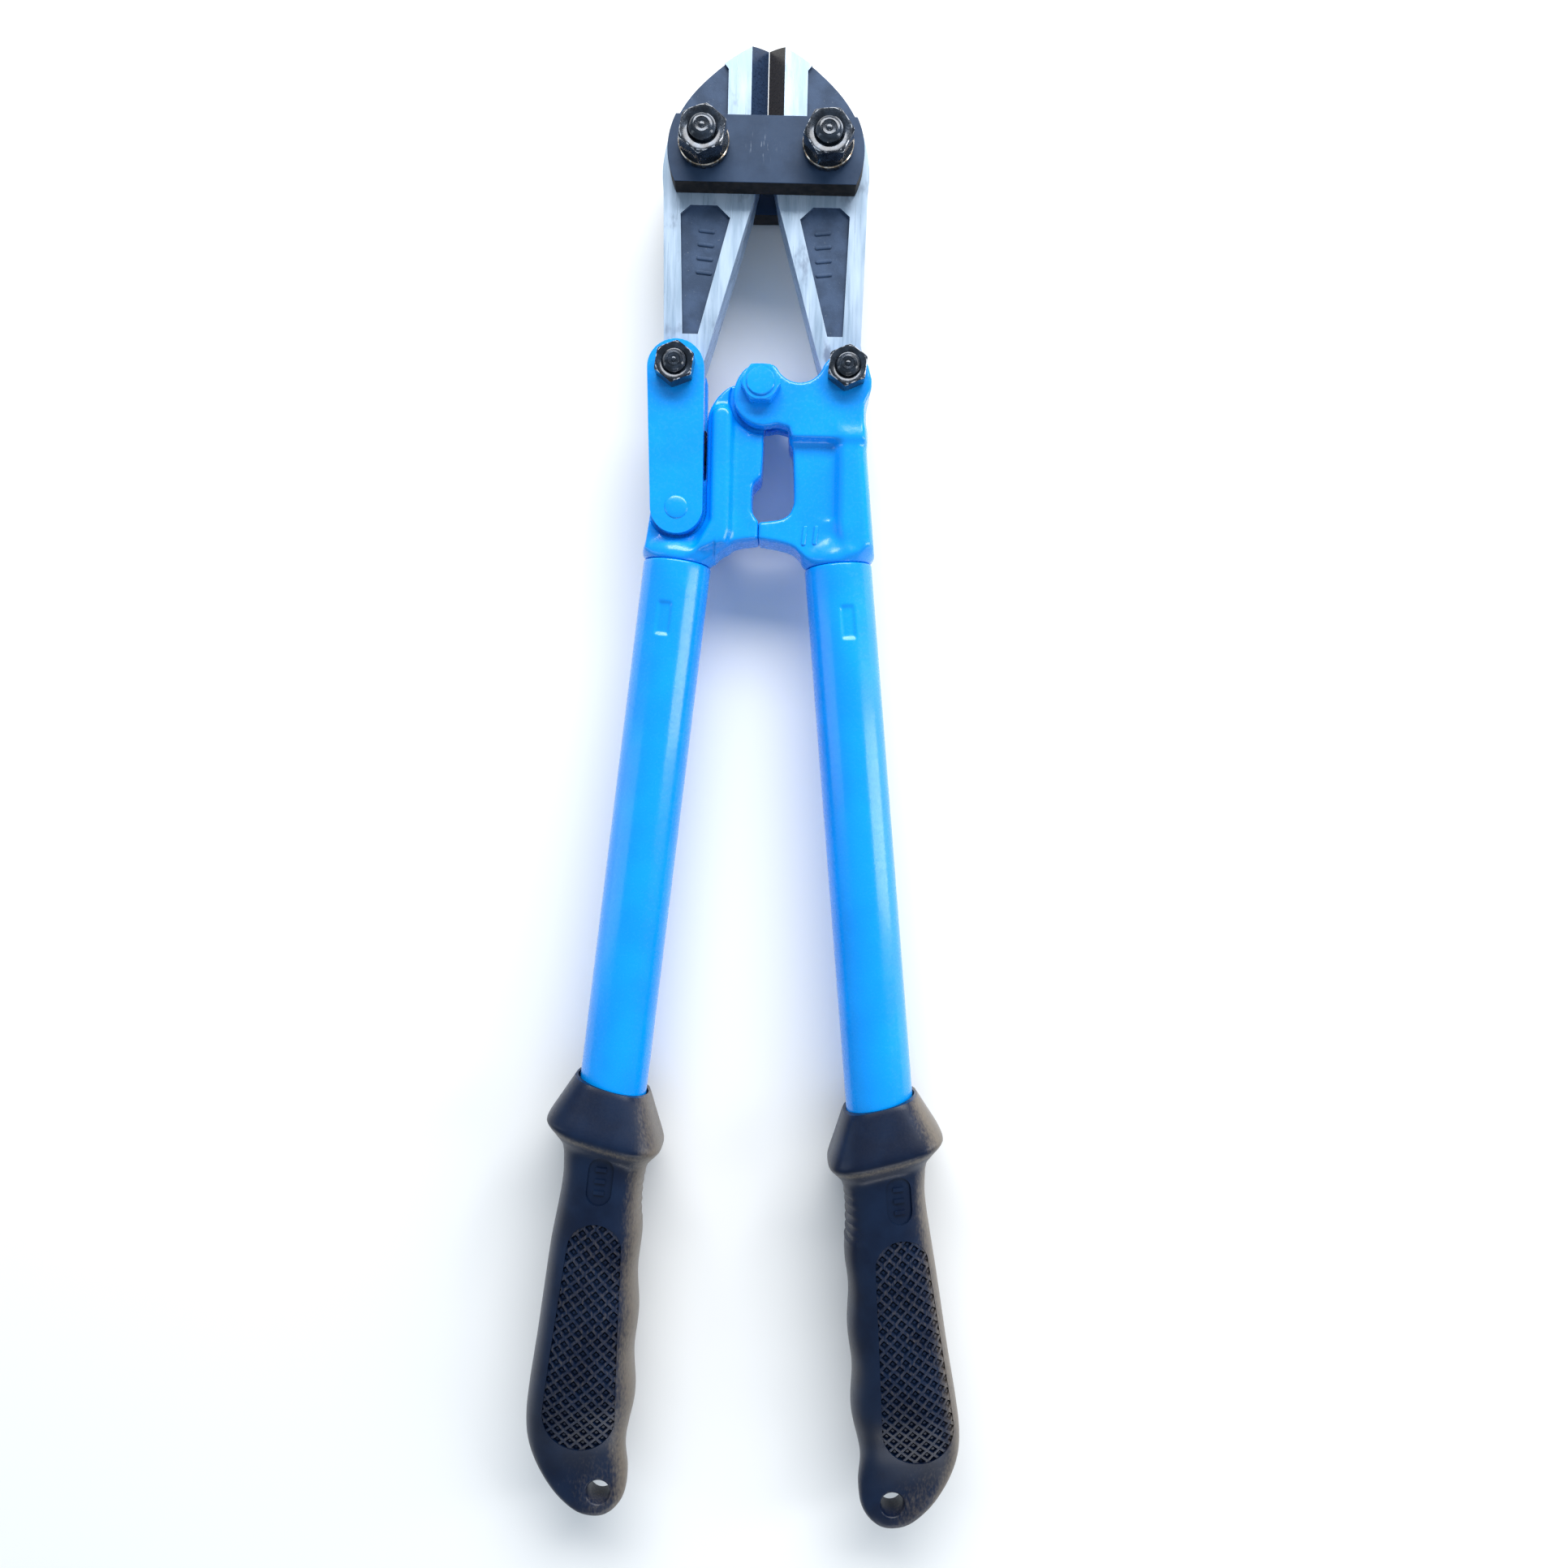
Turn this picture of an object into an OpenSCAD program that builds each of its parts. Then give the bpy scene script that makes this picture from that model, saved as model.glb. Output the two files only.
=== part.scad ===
// Centre-cut bolt cutters with compound levers, lying flat with the jaws towards +Y.
// Every x and y below is measured from the centre pivot, and z from the middle of the jaws.

/* [Placing] */
// Centre pivot above the middle of the tool's length, along Y
pivot_y = 119.2; // [115:0.1:122]
// Height of the middle plane above the surface the tool lies on
mid_z = 18.4; // [18.3:0.1:19]

/* [Jaws] */
// Half the distance between the two jaw pivots
jaw_pivot_x = 18.4; // [18:0.1:18.8]
// Jaw pivots above the centre pivot
jaw_pivot_y = 70.7; // [70:0.1:71.5]
// Thickness of the jaws
jaw_t = 12; // [11:0.5:12]
// Top of the cutting edge
jaw_tip_y = 106.5; // [105:0.1:109]
// Width of the ground bevel beside the cutting edge
bevel_w = 5; // [4:0.1:6]
// Half the gap between the closed cutting edges
edge_gap = 0.1; // [0.05:0.05:0.3]
// Depth of the recessed panels
panel_depth = 0.8; // [0.3:0.1:1.2]

/* [Head plates] */
// Thickness of each plate
plate_t = 6.75; // [5:0.05:7]
// Running gap between a plate and the jaws
plate_gap = 0.25; // [0.1:0.05:0.5]
// Half the height of the plates
plate_half_h = 10.1; // [9:0.1:11]
// Half the width of the plates at their waist
plate_half_w = 29.3; // [28.5:0.1:31]

/* [Levers] */
// Toggle pivots, between jaw tails and levers, out from the centre line
toggle_x = 25.6; // [25.4:0.05:25.8]
// Toggle pivots above the centre pivot
toggle_y = 5.2; // [4.8:0.1:5.6]
// Outer face of the lugs and link straps above the middle plane
lug_z = 10.8; // [10.5:0.1:11.5]
// Half the thickness of the levers' recessed webs
web_z = 7.2; // [6.8:0.1:8.5]
// Half the width of the slots that hold a jaw tail or the tongue
slot_z = 6.2; // [6.15:0.05:6.4]
// Radius of the centre pivot's shank
centre_r = 3.2; // [3:0.1:3.5]
// Play between that shank and the tongue
centre_play = 2.4; // [2.2:0.1:2.6]

/* [Handles] */
// Lean of each handle away from the centre line, in degrees
tilt = 5.73; // [5.5:0.01:6]
// Handle axis at the tube's upper end, out from the centre line
tube_x = 24.7; // [24.5:0.1:24.9]
// Upper end of the tubes below the centre pivot
tube_y = -51.9; // [-52.1:0.1:-51.7]
// Outer radius of the tubes
tube_r = 10.3; // [10:0.1:10.5]
// Wall of the tubes
tube_wall = 1.5; // [1:0.1:2]
// Length of the tubes, to their ends inside the grips
tube_len = 240; // [230:1:244]

/* [Grips] */
// Radius of the hanging hole
hang_r = 3.6; // [3:0.1:4]
// Thickness of the flat end around the hanging hole
hang_t = 10; // [9:0.5:10]
// Sideways bend of the right grip's tail, outwards; the left one bends the other way
tail_bend = 1.4; // [0:0.1:2]
// How much further down its tube the right grip's collar sits than the middle of the two
grip_drop = 1.9; // [0:0.1:2.5]

/* [Hidden] */
$fn = 64;

fit = 0.05;                                   // radial running clearance of a pin
snug = 0.02;                                  // radial clearance of pieces that don't turn
jaw_pin_r = 5;
jaw_thread_r = 4.1;
toggle_pin_r = 4;
toggle_thread_r = 3.4;
rivet_r = 3;
eye_r = 6.6;
tongue_r = 7.1;
strap_r = 8.55;
strap_end_r = 7.85;
rivet_at = [-24.5, -36.6];                    // lower pivot of the link straps
toggle_at = [toggle_x, toggle_y];
jaw_pivot_at = [jaw_pivot_x, jaw_pivot_y];
plate_z = jaw_t / 2 + plate_gap + plate_t;    // outer face of a plate
washer_t = 1.4;
tooth_washer_t = 1;
tang_r = tube_r - tube_wall - snug;
adjuster_y = -16.7;
flank_x = -15.9;                              // left head's flank, which the adjuster bears on

blue = "dodgerblue";
steel = "silver";
black = [0.12, 0.12, 0.13];

// ---------- helpers ----------

// Points of an arc round c, from angle a0 to a1
function arc(c, r, a0, a1, n = 12) =
    [for (i = [0:n]) let (a = a0 + (a1 - a0) * i / n) c + r * [cos(a), sin(a)]];

// Catmull-Rom blend of four values or points
function blend4(p0, p1, p2, p3, t) =
    0.5 * (2 * p1 + (p2 - p0) * t + (2 * p0 - 5 * p1 + 4 * p2 - p3) * t * t
           + (3 * p1 - p0 - 3 * p2 + p3) * t * t * t);

// Smooth open curve through points p, with n steps between neighbours
function curve(p, n = 5) = let (last = len(p) - 1) concat(
    [for (i = [0:last - 1]) for (k = [0:n - 1])
        blend4(p[max(i - 1, 0)], p[i], p[i + 1], p[min(i + 2, last)], k / n)],
    [p[last]]);

module placed() { translate([0, pivot_y, mid_z]) children(); }
module left_side() { mirror([1, 0, 0]) children(); }
module both_sides() { children(); left_side() children(); }
module slab(z0, z1) { translate([0, 0, z0]) linear_extrude(z1 - z0) children(); }
module pin(at, r, z0, z1) { translate([at[0], at[1], z0]) cylinder(r = r, h = z1 - z0); }

// Handle frame: +Y runs up the tube from its upper end, +X away from the centre line
module on_handle() { translate([tube_x, tube_y, 0]) rotate([0, 0, tilt]) children(); }
// Rod along the handle, from s0 to s1 down from the tube's upper end
module rod(r, s0, s1) { translate([0, -s0, 0]) rotate([90, 0, 0]) cylinder(r = r, h = s1 - s0); }

// Hexagon with its corners turned off at the face away from z0
module hex(at, flats, z0, z1, turn = 0) {
    corner = flats / 2 / cos(30);
    rise = abs(z1 - z0);
    translate([at[0], at[1], z0]) mirror([0, 0, z1 < z0 ? 1 : 0]) intersection() {
        rotate([0, 0, turn]) cylinder(r = corner, h = rise, $fn = 6);
        cylinder(r1 = corner + rise * 1.6, r2 = flats / 2 + 0.1, h = rise);
    }
}

// Thread end with a turned tip
module thread_end(at, r, z0, z1, tip = 1) {
    pin(at, r, z0, z1 - tip);
    translate([at[0], at[1], z1 - tip]) cylinder(r1 = r, r2 = r * 0.72, h = tip);
}

// ---------- head ----------

module plate_shape() {
    bulge = 2.3;
    side = [for (i = [-6:6]) let (t = i / 6)
        [plate_half_w - bulge * t * t, jaw_pivot_y - 1.1 + plate_half_h * t]];
    polygon(concat(side, [for (i = [len(side) - 1:-1:0]) [-side[i][0], side[i][1]]]));
}

module plate(z0, z1) {
    difference() {
        slab(z0, z1) plate_shape();
        both_sides() pin(jaw_pivot_at, jaw_pin_r + snug, z0 - 1, z1 + 1);
    }
}

module front_plate() { color(black) placed() plate(plate_z - plate_t, plate_z); }
module back_plate() { color(black) placed() plate(-plate_z, plate_t - plate_z); }

module jaw_bolts() {
    head_t = mid_z - plate_z;
    nut_top = plate_z + washer_t + tooth_washer_t + 6.4;
    color(black) placed() both_sides() {
        hex(jaw_pivot_at, 13, -plate_z, -plate_z - head_t);
        pin(jaw_pivot_at, jaw_pin_r, -plate_z, plate_z);
        thread_end(jaw_pivot_at, jaw_thread_r, plate_z, nut_top + 1.2);
        pin(jaw_pivot_at, 1, nut_top + 1, nut_top + 1.7);
    }
}

module jaw_nuts() {
    base = plate_z + tooth_washer_t + washer_t;
    color(black) placed() for (nut = [[1, 5], [-1, 21]]) let (at = [nut[0] * jaw_pivot_x, jaw_pivot_y])
        difference() {
            hex(at, 13, base, base + 6.4, nut[1]);
            pin(at, jaw_thread_r + snug, base - 1, base + 8);
        }
}

module jaw_flat_washers() {
    base = plate_z + tooth_washer_t;
    color("darkgoldenrod") placed() both_sides() difference() {
        pin(jaw_pivot_at, 7.6, base, base + washer_t);
        pin(jaw_pivot_at, 4.2, base - 1, base + 3);
    }
}

module jaw_tooth_washers() {
    teeth = 16;
    color(black) placed() both_sides() difference() {
        union() {
            pin(jaw_pivot_at, 6.4, plate_z, plate_z + tooth_washer_t);
            for (i = [0:teeth - 1])
                translate([jaw_pivot_x, jaw_pivot_y, plate_z + 0.1]) rotate([0, 0, i * 360 / teeth])
                    translate([6, -0.7, 0]) cube([1.5, 1.4, tooth_washer_t - 0.2]);
        }
        pin(jaw_pivot_at, 4.2, plate_z - 1, plate_z + 3);
    }
}

// ---------- jaws ----------

module jaw_shape() {
    shoulder = curve([[edge_gap, jaw_tip_y], [5, jaw_tip_y - 2.1], [13.6, jaw_tip_y - 7.7],
        [23, jaw_tip_y - 16.9], [28.7, jaw_tip_y - 27], [31.2, jaw_pivot_y - 2.5],
        [30.9, jaw_pivot_y - 11]]);
    polygon(concat(shoulder, [[29.8, 14.5]], arc(toggle_at, eye_r, 35, -170, 24),
        [[16.8, 11], [4.05, 56.3]], curve([[3.2, 61], [1.5, 68.5], [0.7, 75], [edge_gap, 81]])));
}

// The ground faces that meet in the cutting edge
module bevel() {
    reach = 34;
    translate([0, jaw_tip_y + 1, 0]) rotate([90, 0, 0]) linear_extrude(reach)
        for (up = [1, -1])
            polygon([[-1, up * 0.15], [edge_gap, up * 0.15], [bevel_w, up * jaw_t / 2],
                [bevel_w, up * jaw_t], [-1, up * jaw_t]]);
}

module jaw_panels() {
    tail = [[10.6, 52.3], [14.5, 56], [22.7, 56], [25.6, 53.4], [24.3, 17], [19.6, 17]];
    top = [[12, jaw_pivot_y + 10.6], [12, 97.4], [13.7, 99.6], [34, 99.6], [34, jaw_pivot_y + 10.6]];
    for (z0 = [jaw_t / 2 - panel_depth, -jaw_t / 2 - 1]) slab(z0, z0 + panel_depth + 1) {
        polygon(tail);
        polygon(top);
    }
}

module jaw() {
    difference() {
        slab(-jaw_t / 2, jaw_t / 2) jaw_shape();
        bevel();
        jaw_panels();
        pin(jaw_pivot_at, jaw_pin_r + fit, -jaw_t, jaw_t);
        pin(toggle_at, toggle_pin_r + fit, -jaw_t, jaw_t);
    }
}

module left_jaw() { color(steel) placed() left_side() jaw(); }
module right_jaw() { color(steel) placed() jaw(); }

// ---------- links and adjuster of the left lever ----------

module strap_shape(grow = 0) {
    polygon(concat(arc([-toggle_x, toggle_y], strap_r + grow, 0, 180, 24),
        arc(rivet_at, strap_end_r + grow, 180, 360, 24)));
}

module link(z0, z1) {
    difference() {
        slab(z0, z1) strap_shape();
        pin([-toggle_x, toggle_y], toggle_pin_r + snug, z0 - 1, z1 + 1);
        pin(rivet_at, rivet_r + snug, z0 - 1, z1 + 1);
    }
}

module front_link() { color(blue) placed() link(slot_z, lug_z); }
module back_link() { color(blue) placed() link(-lug_z, -slot_z); }

module link_rivet() {
    dome = [for (i = [0:6]) let (a = 15 * i) [(rivet_r + 0.15) * cos(a), 1.2 * sin(a)]];
    color(blue) placed() {
        pin(rivet_at, rivet_r, -lug_z, lug_z);
        for (up = [0, 1]) mirror([0, 0, up]) translate([rivet_at[0], rivet_at[1], lug_z])
            rotate_extrude() polygon(concat([[0, 0]], dome));
    }
}

module toggle_bolt() {
    hex(toggle_at, 11, -lug_z, -lug_z - 4.6);
    pin(toggle_at, toggle_pin_r, -lug_z, lug_z);
    thread_end(toggle_at, toggle_thread_r, lug_z, lug_z + 6.6, 0.7);
}

module toggle_nut(turn) {
    difference() {
        hex(toggle_at, 11, lug_z, lug_z + 5.2, turn);
        pin(toggle_at, toggle_thread_r + snug, lug_z - 1, lug_z + 7);
    }
}

module left_toggle_bolt() { color(black) placed() left_side() toggle_bolt(); }
module left_toggle_nut() { color(black) placed() left_side() toggle_nut(22); }
module right_toggle_bolt() { color(black) placed() toggle_bolt(); }
module right_toggle_nut() { color(black) placed() toggle_nut(24); }

// Rod along X at the adjuster's height
module cross_rod(r, x0, x1, sides = 48) {
    translate([x0, adjuster_y, 0]) rotate([0, 90, 0]) cylinder(r = r, h = x1 - x0, $fn = sides);
}

module adjuster_block() {
    color(black) placed() difference() {
        translate([-32.6, adjuster_y - 6.5, -slot_z]) cube([9.6, 13, 2 * slot_z]);
        cross_rod(4 + snug, -34, -20);
    }
}

module adjuster_screw() {
    socket_r = 2.3;
    color(black) placed() difference() {
        cross_rod(4, -32.4, flank_x - 0.1);
        cross_rod(socket_r, -34, -28, 6);
    }
}

module adjuster_lock_nut() {
    flats = 10.8;
    color(black) placed() difference() {
        translate([-21.6, adjuster_y, 0]) rotate([30, 0, 0]) rotate([0, 90, 0])
            cylinder(r = flats / 2 / cos(30), h = 5.3, $fn = 6);
        cross_rod(4 + snug, -23, -15);
    }
}

// ---------- levers ----------

// Ends a lever at its tube's upper end, with a round collar and the tang that the tube is pushed onto
module with_tang() {
    difference() {
        children();
        on_handle() translate([-30, -30, -20]) cube([60, 30, 40]);
    }
    on_handle() {
        rod(tube_r, -6, 0);
        rod(tang_r, -1, 26);
    }
}

module left_head_shape() {
    window = curve([[1, -11.6], [0.6, -24.2], [-0.2, -26.5], [-1.7, -28], [-2.2, -30.7],
        [-2.1, -36], [-1.5, -37.6], [-0.1, -39.4]], 3);
    foot = curve([[-0.1, -44.6], [-5.6, -45.4], [-9.9, -46.8], [-12.6, -49.5], [-14, -53]], 4);
    polygon(concat([[2, -7]], window, foot, [[-34.6, -51.5], [-32.6, -37]],
        arc(rivet_at, 8, 165, 80, 8), [[flank_x, -27]],
        arc([-2.5, -10.5], 13.4, 180, 112, 10)));
}

module left_head() {
    rib_x = -11.4;
    rib_r = 3.1;
    color(blue) placed() difference() {
        left_side() with_tang() left_side() {
            slab(-jaw_t / 2, jaw_t / 2) {
                left_head_shape();
                circle(tongue_r);
            }
            slab(-web_z, web_z) difference() {
                left_head_shape();
                strap_shape(0.9);
                translate([-40, adjuster_y - 12]) square([40 + flank_x, 40]);
                translate([1, -2.6]) circle(10.4);
            }
            slab(-lug_z + 0.3, lug_z - 0.3) difference() {
                polygon(concat(arc([rib_x, -8.5], rib_r, 0, 180, 10),
                    [[rib_x - rib_r, -40], [-20, -50], [-9.5, -47], [rib_x + rib_r, -43]]));
                translate([1, -2.6]) circle(10.4);
                strap_shape(0.9);
            }
        }
        pin([0, 0], centre_r + centre_play, -20, 20);
        pin(rivet_at, rivet_r + fit, -20, 20);
    }
}

// Arm of the clevis, from the toggle eye to the centre pivot, down to lower_y beside the window
module arm_shape(lobe_r, lobe_at, lower_y) {
    difference() {
        union() {
            circle(tongue_r);
            translate(lobe_at) circle(lobe_r);
            translate(toggle_at) circle(6.4);
            translate([26.3, 1.1]) circle(6.8);
            polygon([[3, lower_y + 1.5], [8.6, lower_y], [9.6, -15], [31.2, -15], [31.1, -6], [31.4, -2.2],
                [32.86, 2.88], [31.78, 6.88], [25.6, 9.6], [18.4, 7.6], [11.5, 7.4], [2.8, 6.2]]);
        }
        translate([11.5, 9.1]) circle(7.5);
    }
}

module right_head_shape() {
    window = curve([[0.1, -39.7], [6.3, -38.8], [9, -37.4], [10.2, -35.3], [10.7, -32.1],
        [10.1, -18.8], [9.5, -16], [9.3, -13]], 3);
    edge = curve([[31.1, -6], [31.7, -19.3], [33.2, -35.2], [34.8, -51.5]], 4);
    foot = curve([[14.2, -53], [13.4, -50], [11, -47.3], [7, -45.9], [0.1, -44.8]], 4);
    polygon(concat(window, [[20, -8]], edge, foot));
}

module right_head() {
    color(blue) placed() difference() {
        with_tang() {
            slab(-web_z, web_z) right_head_shape();
            slab(0, lug_z) arm_shape(9.2, [1, -2.6], -12);
            slab(-lug_z, 0) arm_shape(7.5, [1.4, -1.2], -9);
            slab(-lug_z + 0.3, lug_z - 0.3)
                polygon([[23.4, -14], [31.3, -14], [31.7, -19.3], [33.2, -35.2], [34.6, -49],
                    [30, -50], [25, -47], [24, -40]]);
        }
        // room for the left lever's tongue
        slab(-slot_z, slot_z) {
            circle(tongue_r + centre_play + 0.4);
            translate([-15, -13]) square([19, 25]);
            translate([0, -13]) square([8.6, 8]);
        }
        // room for the right jaw's tail, all along its swing
        slab(-slot_z, slot_z) {
            translate(toggle_at) circle(eye_r + 0.5);
            polygon([[15, 14.5], [16, 9], [18.2, toggle_y], [42, toggle_y], [42, 20], [14.4, 20]]);
        }
        pin([0, 0], centre_r + snug, -20, 20);
        pin(toggle_at, toggle_pin_r + snug, -20, 20);
    }
}

module centre_bolt() {
    color(blue) placed() {
        hex([0, 0], 11, lug_z, lug_z + 4.3);
        pin([0, 0], 4, lug_z + 4, lug_z + 4.9);
        pin([0, 0], centre_r, -lug_z, lug_z + 1);
        mirror([0, 0, 1]) thread_end([0, 0], centre_r, lug_z - 1, lug_z + 6.2, 0.8);
    }
}

module centre_nut() {
    color(blue) placed() difference() {
        hex([0, 0], 11, -lug_z, -lug_z - 5);
        pin([0, 0], centre_r + snug, -20, 20);
    }
}

// ---------- handles ----------

module tube() {
    on_handle() difference() {
        rod(tube_r, 0, tube_len);
        rod(tube_r - tube_wall, -1, tube_len + 1);
        // crimp marks that hold the tang
        for (up = [1, -1]) translate([1.2, -18, up * (tube_r + 7.1)]) sphere(r = 8);
    }
}

module left_tube() { color(blue) placed() left_side() tube(); }
module right_tube() { color(blue) placed() tube(); }

// Grip sections: distance down the handle, outer and inner edge, half thickness
grip_sections = [
    [162.2, 11.6, -11.3, 11.7], [163.4, 12.2, -11.9, 12.2], [169.5, 15.2, -14.5, 14.2],
    [175.2, 17.9, -17, 16.1], [177.2, 17.9, -17.1, 16.1], [180, 15.4, -15.3, 14.3],
    [183, 13, -13.6, 12.6], [188, 12, -12.8, 12.3], [195, 11.7, -12.8, 12.3], [212, 13, -14.2, 12.7],
    [238, 14.2, -15.6, 13.1], [254, 15.2, -16.6, 11.8], [264, 15.4, -16.4, 9.6],
    [272, 14.3, -16.1, 7.2], [279, 11.3, -16.8, 5.5], [285, 6.9, -17.1, 5.2], [289, 2.6, -15.5, 5.1],
    [291.7, -1.7, -12.8, 4.8], [292.9, -5.4, -9.6, 4.4]
];
grip_slant = 0.17;                            // how far the collar leans over
grip_wave = 0.45;                             // height of the finger waves on the inner side
hang_s = 284.6;
hang_n = -8.4;

// The tail of a grip is bent sideways, by this much at distance s down the handle
function bent(s, bend) = bend * max(0, s - 210) / 60;
// A grip is pushed on by drop at its collar, and a little less at its tail
function pushed(s, drop) = s + drop * (1 - 0.0032 * (s - 162));
function hang_at(bend, drop) = [hang_n + 1.5 * bent(hang_s, bend), -pushed(hang_s, drop)];

module grip_body(bend, drop) {
    sides = 28;
    rings = curve(grip_sections, 3);
    points = [for (g = rings)
        let (
            wave = g[0] > 196 && g[0] < 286 ? grip_wave * cos((g[0] - 206) * 360 / 25) : 0,
            inner = g[2] - wave,
            mid = (g[1] + inner) / 2,
            half = (g[1] - inner) / 2,
            slant = grip_slant * max(0, min(1, (205 - g[0]) / 20))
        )
        for (i = [0:sides - 1])
            let (a = 360 * i / sides, n = half * sign(cos(a)) * pow(abs(cos(a)), 0.8))
            [mid + n + bent(g[0], bend), slant * n - pushed(g[0], drop),
             g[3] * sign(sin(a)) * pow(abs(sin(a)), 0.8)]];
    last = (len(rings) - 1) * sides;
    faces = concat(
        [[for (i = [0:sides - 1]) i]],
        [for (r = [0:len(rings) - 2]) for (i = [0:sides - 1]) let (j = (i + 1) % sides, b = r * sides)
            [b + j, b + i, b + i + sides, b + j + sides]],
        [[for (i = [sides - 1:-1:0]) last + i]]);
    polyhedron(points, faces);
}

module grip(bend, drop) {
    flat_from = 276;
    on_handle() difference() {
        grip_body(bend, drop);
        rod(tube_r + snug, 150, tube_len + 0.2);
        pin(hang_at(bend, drop), hang_r, -20, 20);
        // flat faces round the hanging hole
        for (z0 = [hang_t / 2, -hang_t / 2 - 10])
            translate([-40, -300, z0]) cube([80, 300 - flat_from, 10]);
    }
}

module left_grip() { color([0.1, 0.1, 0.1]) placed() left_side() grip(-tail_bend, -grip_drop); }
module right_grip() { color([0.1, 0.1, 0.1]) placed() grip(tail_bend, grip_drop); }

front_plate();
back_plate();
jaw_bolts();
jaw_nuts();
jaw_flat_washers();
jaw_tooth_washers();
left_jaw();
right_jaw();
front_link();
back_link();
link_rivet();
left_toggle_bolt();
left_toggle_nut();
adjuster_block();
adjuster_screw();
adjuster_lock_nut();
left_head();
left_tube();
left_grip();
right_head();
right_tube();
right_grip();
right_toggle_bolt();
right_toggle_nut();
centre_bolt();
centre_nut();
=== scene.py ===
"""Bolt cutters: the looks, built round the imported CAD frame.

Shapes are worked out in millimetres in the tool's own frame, which the CAD uses too: x and y from the
centre pivot, z from the middle of the jaws. place() turns them into the row frame's metres.
"""

import math

import bmesh
import bpy
import numpy as np
import openvdb
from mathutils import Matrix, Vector


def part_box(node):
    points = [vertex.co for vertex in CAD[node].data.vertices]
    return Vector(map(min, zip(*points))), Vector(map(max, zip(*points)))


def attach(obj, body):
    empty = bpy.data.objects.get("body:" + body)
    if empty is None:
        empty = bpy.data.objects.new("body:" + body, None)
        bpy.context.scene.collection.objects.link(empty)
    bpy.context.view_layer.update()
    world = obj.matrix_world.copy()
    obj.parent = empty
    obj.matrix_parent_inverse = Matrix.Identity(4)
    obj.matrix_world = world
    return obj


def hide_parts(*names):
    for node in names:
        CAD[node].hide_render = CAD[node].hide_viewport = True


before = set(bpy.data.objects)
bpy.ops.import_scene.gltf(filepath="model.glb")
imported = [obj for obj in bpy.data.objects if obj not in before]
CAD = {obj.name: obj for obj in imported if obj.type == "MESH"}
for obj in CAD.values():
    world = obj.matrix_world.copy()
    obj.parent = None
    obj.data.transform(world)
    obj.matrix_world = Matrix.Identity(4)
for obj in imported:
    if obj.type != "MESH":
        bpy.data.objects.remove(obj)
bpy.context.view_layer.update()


def middle(node):
    """Middle of a CAD node's box."""
    low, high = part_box(node)
    return (low + high) / 2


ORIGIN = np.array([*middle("centre_nut").xy, middle("left_jaw").z])

# ---------- sizes, in mm ----------

JAW_PIVOT = (18.4, 70.7)  # of the right jaw
JAW_T = 12
PANEL_DEPTH = 0.8  # of the jaws' sunk panels
PLATE_Z = 13  # the plates' outer faces; each Z here is a height over the middle plane
TOGGLE = (25.6, 5.2)  # joint between the right jaw and its lever
RIVET = (-24.5, -36.6)
LUG_Z = 10.8  # outer faces of the lugs and straps
RIB_Z = 10.5  # forged ribs that run down to the tubes
WEB_Z = 7.2
SLOT_Z = 6.2
LOBE_AT = (1, -2.6)  # middle of the round lug over the centre pivot
FLANK_X = -15.9  # left side of the left head, above its rivet
ADJUSTER_Y = -16.7
TILT = math.radians(5.73)  # of each handle
TUBE_TOP = (24.7, -51.9)
TUBE_R = 10.3
TUBE_WALL = 1.5
TUBE_LEN = 240
NECK_R = 6.4  # the heads' necks, before they swell to the tubes
JAW_HEX = 13  # across flats
TOGGLE_HEX = 11
CELL = 0.34  # of the heads' distance fields
LEFT, RIGHT = -1, 1
SIDE_NAME = {LEFT: "left", RIGHT: "right"}


def place(points):
    """Points of the tool's frame, in mm, as points of the row frame, in metres."""
    return np.asarray(points, float) / 1000 + ORIGIN


def on_handle(points, side):
    """Points (n, s, z) of a handle, n away from the centre line and s down the tube, in the tool's frame."""
    n, s, z = np.asarray(points, float).T
    x = TUBE_TOP[0] + n * math.cos(TILT) + s * math.sin(TILT)
    y = TUBE_TOP[1] + n * math.sin(TILT) - s * math.cos(TILT)
    return np.stack([side * x, y, z], 1)


def handle_coordinates(x, y, side):
    """n and s of points of the tool's frame."""
    dx, dy = side * x - TUBE_TOP[0], y - TUBE_TOP[1]
    return dx * math.cos(TILT) + dy * math.sin(TILT), dx * math.sin(TILT) - dy * math.cos(TILT)


# ---------- finishes ----------


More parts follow.
